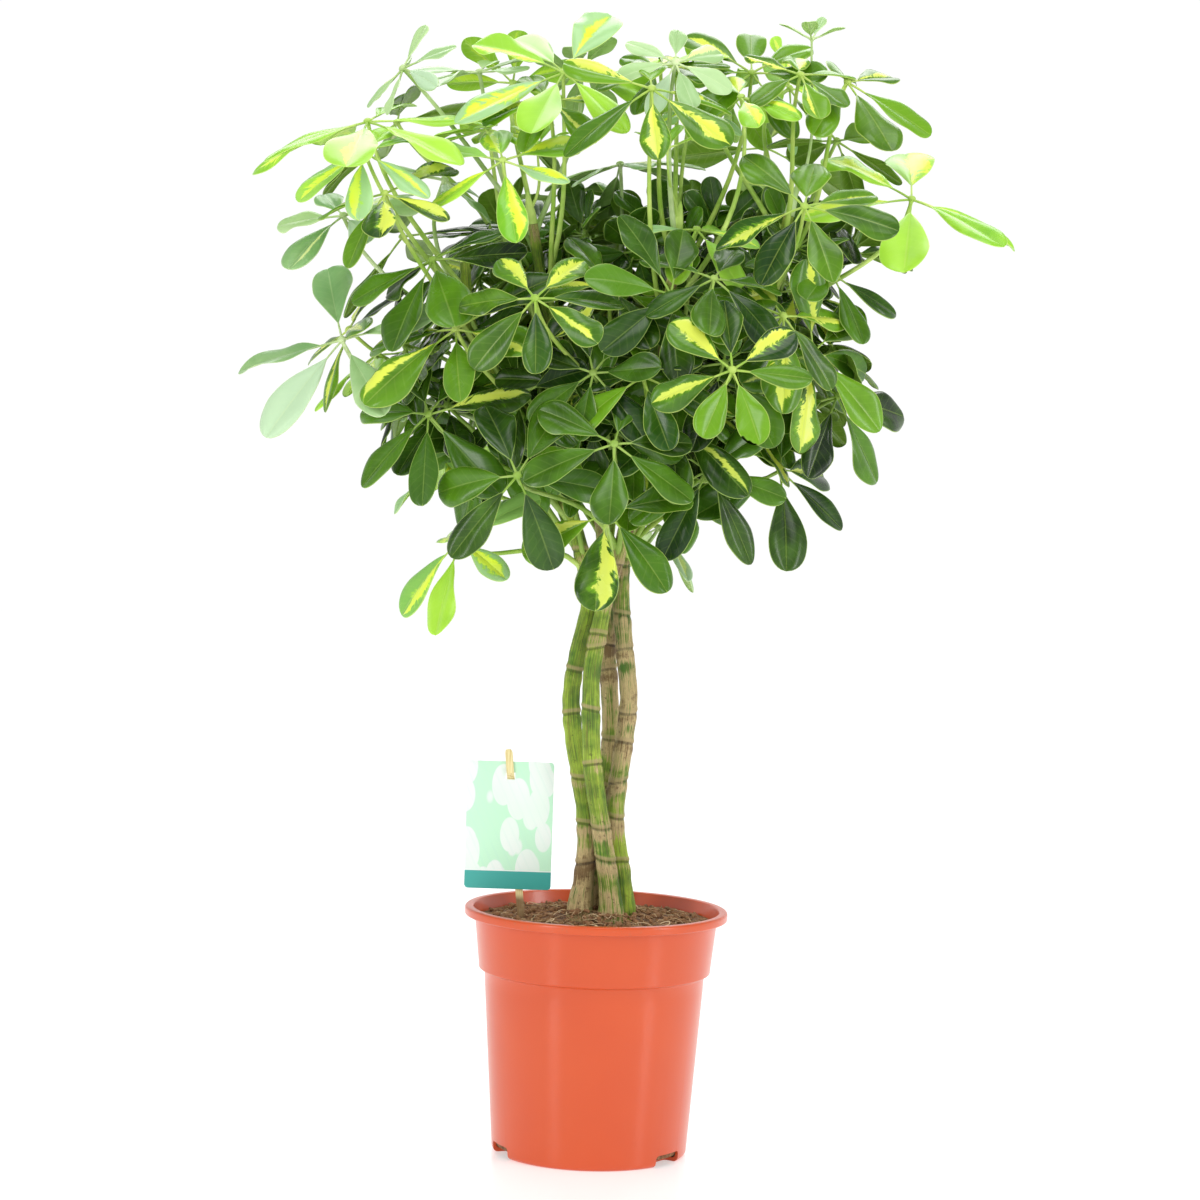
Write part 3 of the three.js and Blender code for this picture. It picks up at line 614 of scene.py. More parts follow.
@dataclass(frozen=True)
class Bark:
    """Young green bark with tan patches round its ring scars, and fine fissures."""

    lime: Colour = srgb(184, 216, 66)
    moss: Colour = srgb(72, 122, 26)
    tan: Colour = srgb(216, 192, 138)
    lip: Colour = srgb(192, 170, 122)
    brown: Colour = srgb(124, 94, 54)
    # Dark specks, and the painted shade in the groove under each scar's lip.
    dark: Colour = srgb(44, 36, 18)
    relief: float = 1.1

    def material(self) -> bpy.types.Material:
        """Makes the material."""
        net = Net("green_bark")
        turn, along, scar = net.parts(net.mark("bark"))
        age, near, lip = net.parts(net.mark("age"))
        place = net.place()
        angle = turn * math.tau
        ring = net.vector(angle.wave(), (angle + QUARTER_TURN).wave(), along * 3.5)
        streak = net.noise(net.scaled(ring, (3.0, 3.0, 3.0)), 2.4, 4, 0.65)
        fissure = net.noise(net.scaled(ring, (12, 12, 4.0)), 3.0, 3, 0.6)
        blot = net.noise(place, 34, 3, 0.6)
        speck = net.noise(place, 260, 3, 0.7)
        grain = net.noise(place, 900, 3)
        colour = net.mix((blot * 0.6 + streak * 0.5).rise(0.42, 0.66), self.moss, self.lime)
        worn = age * 0.7 + near * 0.3 + (blot - 0.5) * 1.7 + (streak - 0.5) * 1.3
        colour = net.mix(worn.rise(0.36, 0.58) * 0.95, colour, self.tan)
        colour = net.mix((worn + (speck - 0.5) * 0.9).rise(0.66, 1.0) * 0.85, colour, self.brown)
        colour = net.mix(fissure.fade(0.4, 0.48) * 0.7, colour, self.brown)
        colour = net.mix(speck.rise(0.6, 0.72) * 0.5, colour, self.dark)
        colour = net.mix(lip.rise(0.2, 0.9) * (streak * 1.4).least(0.85), colour, self.lip)
        # Painted shade: a thin dark line in the groove under each ring scar's lip.
        colour = net.mix(scar.rise(0.3, 0.85) * (0.1 + blot * 0.8), colour, self.dark)
        height = fissure * 0.9 + streak * 0.6 + grain * 0.15 + speck * 0.3 - scar * 0.3
        return net.finish(colour, 0.46 + streak * 0.25, height, self.relief)


@dataclass(frozen=True)
class PotPlastic:
    """Moulded terracotta-coloured plastic: satin, a little dusty where soil has touched it."""

    body: Colour = srgb(210, 80, 22)
    warm: Colour = srgb(198, 66, 16)
    dust: Colour = srgb(150, 104, 74)
    dusty: Pair = (186.0, 197.0)  # heights between which the dust comes in

    def material(self) -> bpy.types.Material:
        """Makes the material."""
        net = Net("terracotta_plastic")
        place = net.place()
        _, _, high = net.parts(place)
        cloud = net.noise(place, 14, 2)
        pores = net.noise(place, 1500, 2)
        flow = net.noise(net.scaled(place, (60, 60, 6)), 1, 3)
        rub = net.noise(net.scaled(place, (90, 90, 420)), 1, 4, 0.7).rise(0.62, 0.8)
        colour = net.mix(cloud.rise(0.2, 0.8) * 0.35 + flow * 0.1, self.body, self.warm)
        low, full = (height * MM for height in self.dusty)
        dusty = high.rise(low, full) * net.noise(place, 240, 4, 0.7).rise(0.55, 0.75)
        colour = net.mix((dusty * 0.5 + rub * 0.1).least(0.5), colour, self.dust)
        rough = 0.27 + cloud * 0.05 + dusty * 0.25 + rub * 0.06
        height = pores * 0.35 + flow * 0.3
        return net.finish(colour, rough, height, 0.08, Coat_Weight=0.25, Coat_Roughness=0.14)


@dataclass(frozen=True)
class Peat:
    """Moist fibrous peat with pale fibres and crumbs."""

    wet: Colour = srgb(84, 56, 34)
    brown: Colour = srgb(150, 110, 74)
    rust: Colour = srgb(180, 138, 96)
    pale: Colour = srgb(232, 208, 168)

    def material(self) -> bpy.types.Material:
        """Makes the material."""
        net = Net("fibrous_peat")
        kind, seed, _ = net.parts(net.mark("grit"))
        place = net.place()
        lump = net.noise(place, 160, 4, 0.65)
        crumb = net.cells(place, 330)
        fine = net.noise(place, 1100, 3)
        thread = net.noise(net.scaled(place, (700, 160, 300)), 1, 3, 0.7)
        colour = net.mix(lump.rise(0.34, 0.66), self.wet, self.brown)
        colour = net.mix(thread.rise(0.56, 0.72) * 0.6, colour, self.rust)
        colour = net.mix(kind.rise(0.3, 0.5) * seed, colour, self.brown)
        fibre = net.ramp(seed, [(0.0, self.brown), (0.45, self.rust), (1.0, self.pale)])
        colour = net.mix(kind.rise(0.7, 0.9), colour, fibre)
        height = lump * 0.6 + (1 - crumb) * 0.3 + fine * 0.3
        return net.finish(colour, 0.75 + fine * 0.25, height, 2.0)


@dataclass(frozen=True)
class CardPrint:
    """A pale card with soft white petals on mint and a plain band along its foot."""

    mint: Colour = srgb(196, 242, 208)
    white: Colour = srgb(236, 246, 239)
    band: Colour = srgb(62, 168, 158)
    line: Colour = srgb(176, 226, 212)
    band_top: float = 14.2  # above the card's lower edge
    band_edge: float = 15.0  # top of the white line over the band

    def material(self, front: float, foot: float) -> bpy.types.Material:
        """Makes the material.

        Args:
            front: Y of the printed face.
            foot: Z of the card's lower edge.

        Returns:
            The material.
        """
        net = Net("printed_card")
        place = net.place()
        x, y, z = net.parts(place)
        petals = net.cells(net.scaled(place, (1.0, 0.0, 0.55)), 62)
        bloom = petals.fade(0.56, 0.6)
        veil = (net.noise(place, 18, 1) + (z - foot) * 2.2).rise(0.45, 0.75)
        ground = net.mix(bloom * (0.7 + veil * 0.3), self.mint, self.white)
        stripe = ((x * 900 + z * 420).wave() * 0.5 + 0.5).rise(0.8, 0.9)
        ground = net.mix(stripe * veil * 0.1, ground, self.line)
        band = foot + self.band_top * MM, foot + (self.band_top + 0.3) * MM
        edge = foot + self.band_edge * MM, foot + (self.band_edge + 0.2) * MM
        printed = net.mix(z.fade(*band), ground, self.band)
        printed = net.mix(z.fade(*edge) * z.rise(*band), printed, self.white)
        colour = net.mix(y.fade(front + 0.05 * MM, front + 0.2 * MM), self.white, printed)
        fibre = net.noise(place, 1400, 3)
        return net.finish(colour, 0.42 + fibre * 0.12, fibre, 0.03)


@dataclass(frozen=True)
class StakeWood:
    """Pale yellow wood with a fine straight grain."""

    pale: Colour = srgb(240, 228, 172)
    grain: Colour = srgb(214, 192, 128)
    damp: Colour = srgb(120, 88, 52)
    soiled: Pair = (199.0, 207.0)  # heights between which the soil's mark ends

    def material(self) -> bpy.types.Material:
        """Makes the material."""
        net = Net("pale_stake_wood")
        place = net.place()
        _, _, high = net.parts(place)
        fibre = net.noise(net.scaled(place, (1600, 1600, 45)), 1, 4, 0.6)
        blot = net.noise(place, 120, 2)
        colour = net.mix(fibre.rise(0.42, 0.66), self.pale, self.grain)
        low, end = (height * MM for height in self.soiled)
        soiled = high.fade(low, end) * (0.5 + blot)
        colour = net.mix(soiled.least(0.9), colour, self.damp)
        return net.finish(colour, 0.5 + fibre * 0.2, fibre, 0.25)


@dataclass(frozen=True)
class FloorPaint:
    """A plain white studio floor with a faint sheen, lit through from below."""

    white: Colour = (0.8, 0.8, 0.8)
    glow: float = 0.42

    def material(self) -> bpy.types.Material:
        """Makes the material."""
        net = Net("studio_floor")
        rough = 0.16 + net.noise(net.place(), 3, 1) * 0.02
        net.shader.inputs["Emission Color"].default_value = (1, 1, 1, 1)
        return net.finish(self.white, rough, Emission_Strength=self.glow)


LEAF_SKINS = {
    Tone.DARK: LeafSkin(
        Tone.DARK, deep=srgb(10, 34, 2), light=srgb(84, 132, 22), flame=srgb(214, 226, 88),
        under=srgb(122, 160, 52), margin=srgb(164, 192, 96), stalk=srgb(126, 164, 52), tone_and_painted_sheen=srgb(28, 66, 18),
    ),
    Tone.FLAMED: LeafSkin(
        Tone.FLAMED, deep=srgb(18, 54, 3), light=srgb(108, 160, 24), flame=srgb(220, 232, 84),
        under=srgb(140, 180, 54), margin=srgb(186, 208, 104), stalk=srgb(142, 182, 60), tone_and_painted_sheen=srgb(46, 90, 26),
    ),
    Tone.LIME: LeafSkin(
        Tone.LIME, deep=srgb(112, 180, 34), light=srgb(172, 226, 62), flame=srgb(226, 250, 62),
        under=srgb(166, 214, 66), margin=srgb(208, 232, 128), stalk=srgb(150, 188, 72),
        tone_and_painted_sheen=srgb(164, 206, 150), tone_and_painted_sheen_share=0.85, gloss=0.24,
    ),
    Tone.PALE: LeafSkin(
        Tone.PALE, deep=srgb(120, 168, 100), light=srgb(180, 212, 148), flame=srgb(230, 242, 150),
        under=srgb(172, 206, 126), margin=srgb(210, 228, 174), stalk=srgb(156, 186, 106),
        tone_and_painted_sheen=srgb(192, 220, 188), tone_and_painted_sheen_share=0.7, gloss=0.26,
    ),
}


# ---------------------------------------------------------------- rules that place stems and leaves


@dataclass(frozen=True)
class Bends:
    """The bends that a stalk or leaflet may take, tried in turn as in the frame's source."""

    stalk: int = 30
    blade: int = 48
    turn: float = 137.5  # degrees from one to the next
    stalk_step: float = 4.2
    blade_step: float = 3.4
    shrink: float = 0.006  # a leaflet is shorter by this share for each bend tried


BENDS = Bends()
LCG_FACTOR, LCG_STEP, LCG_RANGE = 1664525, 1013904223, 2**32


def seeded(seed: int) -> Iterator[float]:
    """The same run of numbers between 0 and 1 for the same seed."""
    state = seed
    while True:
        state = (state * LCG_FACTOR + LCG_STEP) % LCG_RANGE
        yield state / LCG_RANGE


def unit(vector: np.ndarray) -> np.ndarray:
    """A vector's direction."""
    return vector / np.linalg.norm(vector)


def across(axis: np.ndarray) -> tuple[np.ndarray, np.ndarray]:
    """Two directions across an axis."""
    first = unit(np.cross(axis, UP if abs(axis[2]) < 0.95 else np.array((0.0, 1.0, 0.0))))
    return first, np.cross(axis, first)


def turned(vector: np.ndarray, axis: np.ndarray, angle: float) -> np.ndarray:
    """A vector turned about an axis."""
    cos, sin = math.cos(angle), math.sin(angle)
    return vector * cos + np.cross(axis, vector) * sin + axis * (axis @ vector) * (1 - cos)


def bend_at(k: int, step: float) -> Pair:
    """The k-th bend: nothing first, then ever wider turns in all directions."""
    size, angle = step * math.sqrt(k), math.radians(BENDS.turn * k)
    return size * math.cos(angle), size * math.sin(angle)


class Curve:
    """A middle line with a place for each share of it."""

    def at(self, share: float) -> np.ndarray:
        """The point at a share."""
        raise NotImplementedError

    def way(self, share: float) -> np.ndarray:
        """The direction at a share."""
        low, high = max(share - 1e-4, 0.0), min(share + 1e-4, 1.0)
        return unit(self.at(high) - self.at(low))


class RouteCurve(Curve):
    """A smooth line through points, with even tension at uneven distances."""

    def __init__(self, points: list[np.ndarray]) -> None:
        """Keeps the points."""
        self.points = [np.array(point, float) for point in points]

    def at(self, share: float) -> np.ndarray:
        """The point at a share."""
        last = len(self.points) - 1
        run = last * share
        i = min(int(run), last - 1)
        t = run - i
        p1, p2 = self.points[i], self.points[i + 1]
        p0 = self.points[i - 1] if i > 0 else 2 * p1 - p2
        p3 = self.points[i + 2] if i + 2 <= last else 2 * p2 - p1
        d0, d1, d2 = (math.sqrt(np.linalg.norm(b - a)) for a, b in ((p0, p1), (p1, p2), (p2, p3)))
        t1 = ((p1 - p0) / d0 - (p2 - p0) / (d0 + d1) + (p2 - p1) / d1) * d1
        t2 = ((p2 - p1) / d1 - (p3 - p1) / (d1 + d2) + (p3 - p2) / d2) * d1
        c2, c3 = -3 * p1 + 3 * p2 - 2 * t1 - t2, 2 * p1 - 2 * p2 + t1 + t2
        return p1 + t * (t1 + t * (c2 + t * c3))


class StalkCurve(Curve):
    """A leaf stalk's line: up and out of its stem, then in under the hub."""

    lean: float = 0.36  # length of the handles, as a share of the stalk's
    outward: float = 0.8  # how much its first direction leans out of the stem

    def __init__(self, start: np.ndarray, hub: np.ndarray, axis: np.ndarray, k: int = 0) -> None:
        """Places the handles for a bend."""
        chord = np.linalg.norm(hub - start)
        right, ahead = across(unit(hub - start))
        sideways, forward = bend_at(k, BENDS.stalk_step)
        out = unit((hub - start) * (1, 1, 0))
        bend = right * sideways + ahead * forward
        handle = chord * self.lean
        first = start + UP * handle + out * handle * self.outward + bend
        self.ends = start, first, hub - axis * handle + bend, hub

    def at(self, share: float) -> np.ndarray:
        """The point at a share."""
        a, b, c, d = self.ends
        s, t = 1 - share, share
        return a * s**3 + 3 * b * s * s * t + 3 * c * s * t * t + d * t**3


def laid(pattern: Pattern, stations: Stations) -> np.ndarray:
    """Lays a tube along stations.

    Args:
        pattern: A tube of radius 1 with as many rings as there are stations.
        stations: Place, direction and radius of each ring.

    Returns:
        The points of the copy.
    """
    side = across(stations[0][1])[0]
    frames = []
    for at, way, radius in stations:
        side = unit(side - way * (side @ way))
        frames.append((at, side * radius, np.cross(way, side) * radius))
    rows = np.rint(pattern.points[:, 2] * (len(stations) - 1)).astype(int)
    at, first, second = (np.array(column)[rows] for column in zip(*frames))
    return at + pattern.points[:, :1] * first + pattern.points[:, 1:2] * second


class Match:
    """Finds points of a frame node, to tell which bend a stalk or leaflet took."""

    within: float = 0.03  # mm that a point may be off
    corners: int = 4  # that a ring has at least

    def __init__(self, node: str) -> None:
        """Gathers the node's points in mm."""
        points = [np.array(v.co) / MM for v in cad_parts[node].data.vertices]
        self.tree = KDTree(len(points))
        for i, point in enumerate(points):
            self.tree.insert(Vector(point), i)
        self.tree.balance()

    def has(self, point: np.ndarray) -> bool:
        """Whether the node has a point here."""
        return self.tree.find(Vector(point))[2] < self.within

    def ring(self, centre: np.ndarray, radius: float) -> bool:
        """Whether the node has a ring of points of this radius round a centre."""
        near = self.tree.find_range(Vector(centre), radius + self.within)
        found = {tuple(np.round(p, 2)) for p, _, d in near if abs(d - radius) < self.within}
        return len(found) >= self.corners


# ---------------------------------------------------------------- leaves


@dataclass(frozen=True)
class Row:
    """A leaf of the crown: its stem, hub, the way its umbrella looks, reach, leaflets and tone."""

    stem: str
    at: Triple
    face: Triple
    reach: float
    leaflets: int
    tone: Tone
    droop: float = 5.0


@dataclass
class Leaf:
    """A leaf that is ready to grow: where its stalk starts and ends, and how its leaflets stand."""

    start: np.ndarray
    hub: np.ndarray
    axis: np.ndarray
    reach: float
    leaflets: int
    seed: int
    droop: float = 5.0
    scale: float = 1.0


@dataclass(frozen=True)
class LeafletSize:
    """One leaflet's own size and attitude within its leaf, in mm and degrees."""

    azimuth: float
    reach: float
    width: float
    droop: float
    curl: float
    twist: float


@dataclass
class LeafletShape:
    """Where each point of a leaflet lies, for one of its bends."""

    leaf: Leaf
    size: LeafletSize
    bend: int
    fold: float = 16.0  # degrees that each half rises from the midrib
    blade_start: float = 0.2  # share of the reach taken by the bare stalk
    fall_back: float = 0.5
    fall_down: float = 0.4
    stops: tuple[Pair, ...] = ((0.5, 0.88), (0.8, 0.92))  # shares of the reach and of the half width

    def __post_init__(self) -> None:
        """Works out the leaflet's own directions."""
        swing, lift = bend_at(self.bend, BENDS.blade_step)
        u, v = across(self.leaf.axis)
        azimuth = math.radians(self.size.azimuth + swing)
        droop = math.radians(self.size.droop + lift)
        radial = u * math.cos(azimuth) + v * math.sin(azimuth)
        self.out = radial * math.cos(droop) - self.leaf.axis * math.sin(droop)
        self.fall = self.leaf.axis * -self.fall_back - UP * self.fall_down
        self.reach = self.size.reach * (1 - BENDS.shrink * self.bend)
        self.flat = np.cross(radial, self.leaf.axis)

    def centre(self, share: float) -> np.ndarray:
        """The midrib's point at a share of the reach."""
        straight = self.leaf.hub + self.out * self.reach * share
        return straight + self.fall * self.reach * self.size.curl * share**2

    def frame(self, share: float) -> tuple[np.ndarray, np.ndarray, np.ndarray]:
        """Sideways, along and upwards at a share of the reach."""
        tangent = unit(self.out + self.fall * 2 * self.size.curl * share)
        side = unit(self.flat - tangent * (self.flat @ tangent))
        side = turned(side, tangent, math.radians(self.size.twist * share))
        return side, tangent, np.cross(side, tangent)

    def edge(self, share: float, half: float, sign: int) -> np.ndarray:
        """A point of the margin at a share of the reach."""
        side, _, top = self.frame(share)
        fold = math.radians(self.fold)
        return self.centre(share) + side * half * math.cos(fold) * sign + top * half * math.sin(fold)

    def seen(self, match: Match) -> int:
        """How many of its solid's far points a node has."""
        half = self.size.width / 2
        corners = [(share, half * part, sign) for share, part in self.stops for sign in (-1, 1)]
        points = [self.centre(1.0), *(self.edge(*corner) for corner in corners)]
        return sum(match.has(point) for point in points)


class Look(Enum):
    """How the tip of a leaflet is cut: its fullness, how deep its notch is, and how often it comes."""

    ROUND = (2.4, 0.0, 0.55)
    NOTCHED = (2.9, 0.035, 0.2)
    POINTED = (1.6, 0.0, 0.25)


FLAMES: dict[Tone, Pair] = {  # chance that a leaflet has a flame, and how wide it is at least
    Tone.DARK: (0.06, 0.3), Tone.FLAMED: (0.5, 0.35), Tone.LIME: (0.6, 0.3), Tone.PALE: (0.12, 0.2),
}
NO_BLADE = (0.5, 0.5, 9.0)  # the blade mark of what is no blade: far from any margin


@dataclass
class Foliage:
    """Builds the leaves of one node: stalks, hubs and leaflets."""

    blade: Pattern
    stalk_tube: Pattern
    rib_tube: Pattern
    stalk_radii: Pair = (2.3, 1.5)  # at the stem and under the hub
    heel: float = 1.3  # how much thicker a stalk is where it leaves the stem
    neck: float = 5.0  # from the stalk's last ring to the hub
    hub_rings: tuple[Pair, ...] = (  # rise, and radius next to the stalk's
        (-2.4, 1.12), (-0.6, 1.8), (1.2, 2.3), (2.3, 1.9), (3.0, 0.9), (3.2, 0.05),
    )
    azimuth_spread: float = 0.36
    size_spread: float = 0.24
    width_ratio: float = 0.42  # a blade's width to its reach
    droop_spread: float = 30.0
    curl: float = 0.13  # how far the tip falls, as a share of the reach
    curl_spread: float = 0.2
    twist_spread: float = 40.0
    rise: float = 0.4  # share of the spread of droop and curl that lies below the usual one
    thickness: float = 0.42
    widest: float = 0.65  # share of the blade where it is widest
    notch_start: float = 0.85
    roll: float = 0.12  # how far the margin rolls down, as a share of the half width
    variety: tuple[float, ...] = (0.12, 0.2, 0.12, 0.2)  # of width, lopsidedness, sweep and roll
    rib_radius: float = 0.95
    rib_taper: float = 0.75

    def outline(self, share: np.ndarray, look: Look) -> np.ndarray:
        """Half width of a blade along it, as a share of the widest."""
        low = np.clip(1 - share / self.widest, 0, 1)
        high = np.clip((share - self.widest) / (1 - self.widest), 0, 1)
        return np.where(share < self.widest, (1 - low**1.45) ** 1.02, (1 - high ** look.value[0]) ** 0.52)

    def stalk_line(self, leaf: Leaf, match: Match | None) -> StalkCurve:
        """The line of a leaf's stalk, with the bend that it has in the frame."""
        natural = StalkCurve(leaf.start, leaf.hub, leaf.axis)
        if match is None:
            return natural
        middle = sum(self.stalk_radii) * leaf.scale / 2
        curves = (StalkCurve(leaf.start, leaf.hub, leaf.axis, k) for k in range(BENDS.stalk))
        found = next((curve for curve in curves if match.ring(curve.at(0.5), middle)), None)
        if found is None:
            log.warning("no stalk found at %s", np.round(leaf.hub))
        return found or natural

    def grow_stalk(self, work: Assembly, leaf: Leaf, match: Match | None, seed: float) -> None:
        """Adds a leaf's stalk and hub."""
        base, top = (radius * leaf.scale for radius in self.stalk_radii)
        curve = self.stalk_line(leaf, match)
        end = 1 - self.neck * leaf.scale / float(np.linalg.norm(leaf.hub - leaf.start))
        stations = []
        for s in np.linspace(0, end, 13):
            taper = base + (top - base) * min(s * 1.1, 1)
            heel = self.heel * leaf.scale * math.exp(-s * 40)
            stations.append((curve.at(s), curve.way(s), taper + heel))
        for rise, radius in self.hub_rings:
            at = leaf.hub + leaf.axis * rise * leaf.scale
            stations.append((at, leaf.axis, radius * self.stalk_radii[1] * leaf.scale))
        work.add_tube(self.stalk_tube, stations, leaf=(seed, 0.0, Part.STALK.value), blade=NO_BLADE)

    def sizes(self, leaf: Leaf) -> list[LeafletSize]:
        """The leaflets' own sizes and attitudes."""
        draw = seeded(leaf.seed)
        turn = next(draw) * 360
        made = []
        for i in range(leaf.leaflets):
            azimuth = turn + 360 * (i + self.azimuth_spread * (next(draw) - 0.5)) / leaf.leaflets
            reach = leaf.reach * (1 + self.size_spread * (next(draw) - 0.5))
            width = reach * self.width_ratio * (1 + self.size_spread * (next(draw) - 0.5))
            droop = leaf.droop + self.droop_spread * (next(draw) - self.rise)
            curl = self.curl + self.curl_spread * (next(draw) - self.rise)
            twist = self.twist_spread * (next(draw) - 0.5)
            made.append(LeafletSize(azimuth, reach, width, droop, curl, twist))
        return made

    def grow_blade(self, work: Assembly, shape: LeafletShape, tone: Tone, draw: np.random.Generator) -> None:
        """Adds a leaflet: its blade, and the rib under it."""
        seed = float(draw.random())
        look = list(Look)[int(draw.choice(len(Look), p=[look.value[2] for look in Look]))]
        chance, least = FLAMES[tone]
        flame = least + 0.75 * float(draw.random()) if draw.random() < chance else 0.0
        phase, waves = draw.random(2) * math.tau, 0.7 + 1.1 * draw.random(2)
        swell, bow = 0.05 + 0.15 * draw.random(), 0.08 + 0.26 * float(draw.random())
        fullest = 1.0 if tone in (Tone.DARK, Tone.FLAMED) else 0.92
        usual = np.array((fullest, 0, 0, self.roll))
        slim, lop, sweep, roll = usual + (draw.random(4) - 0.5) * self.variety

        u, v, face = self.blade.points.T
        v = 1 - (1 - v) ** 1.5
        width = self.outline(v, look) * (shape.size.width / 2 * float(slim)) * (1 + lop * np.sign(u))
        tip = np.clip((v - self.notch_start) / (1 - self.notch_start), 0, 1)
        notch = look.value[1] * np.exp(-((u * 3.2) ** 2)) * tip * shape.reach
        rows, inverse = np.unique(np.round(v, 6), return_inverse=True)
        shares = shape.blade_start + (1 - shape.blade_start) * rows
        centre = np.array([shape.centre(s) for s in shares])[inverse]
        frames = np.array([shape.frame(s) for s in shares])[inverse]
        fold = math.radians(shape.fold)
        left, right = (np.sin(phase[i] + waves[i] * v * math.tau) for i in (0, 1))
        ripple = np.where(u < 0, left, right)
        lift = np.abs(u) * width * (math.sin(fold) + bow) - bow * u * u * width * 1.6
        lift += ripple * swell * width * u * u - roll * width * u**6
        lift += self.thickness * np.sign(face) * 0.5 * (1 - 0.5 * u * u)
        sideways = u * width * math.cos(fold) + sweep * shape.reach * v * v * (1 - v * 0.4)
        points = centre + frames[:, 0] * sideways[:, None] + frames[:, 2] * lift[:, None]
        points -= frames[:, 1] * notch[:, None]

        marks = np.stack((u, v, (1 - np.abs(u)) * width), 1)
        parts = np.where(face > 0, Part.UPPER.value, Part.UNDER.value)
        leaf = np.stack((np.full(len(u), seed), np.full(len(u), flame), parts), 1)
        work.add(points, self.blade.faces, blade=marks, leaf=leaf)
        self.grow_rib(work, shape, seed)

    def grow_rib(self, work: Assembly, shape: LeafletShape, seed: float) -> None:
        """Adds the rib that carries on from a leaflet's short stalk, sunk into its blade."""
        stations = []
        for s in np.linspace(0.02, 0.94, 12):
            _, tangent, top = shape.frame(s)
            radius = self.rib_radius - self.rib_taper * max(0.0, (s - 0.1) / 0.84) ** 0.7
            sink = min(max(0.0, (s - 0.15) / 0.1), 1.0) * (radius * 0.75 + 0.1)
            stations.append((shape.centre(s) - top * sink, tangent, radius))
        work.add_tube(self.rib_tube, stations, leaf=(seed, 0.0, Part.STALK.value), blade=NO_BLADE)

    def grow(self, work: Assembly, leaf: Leaf, tone: Tone, match: Match | None = None) -> int:
        """Adds a whole leaf.

        Args:
            work: Mesh that it goes into.
            leaf: The leaf.
            tone: Its kind.
            match: Points of the node that it stands for, if it stands for one.

        Returns:
            How many leaflets it has.
        """
        draw = np.random.default_rng(leaf.seed)
        self.grow_stalk(work, leaf, match, float(draw.random()))
        grown = 0
        for size in self.sizes(leaf):
            shapes = [LeafletShape(leaf, size, k) for k in range(BENDS.blade if match else 1)]
            if match:
                shapes = [shape for shape in shapes if shape.seen(match) > 1]
            if shapes:
                self.grow_blade(work, shapes[0], tone, draw)
                grown += 1
        return grown


# ---------------------------------------------------------------- stems, shoots and tips


@dataclass(frozen=True)
class ShootRoute:
    """A side shoot at the rear of the crown: its parent stem, the height it leaves at, and its way."""

    stem: str
    height: float
    route: tuple[Triple, ...]


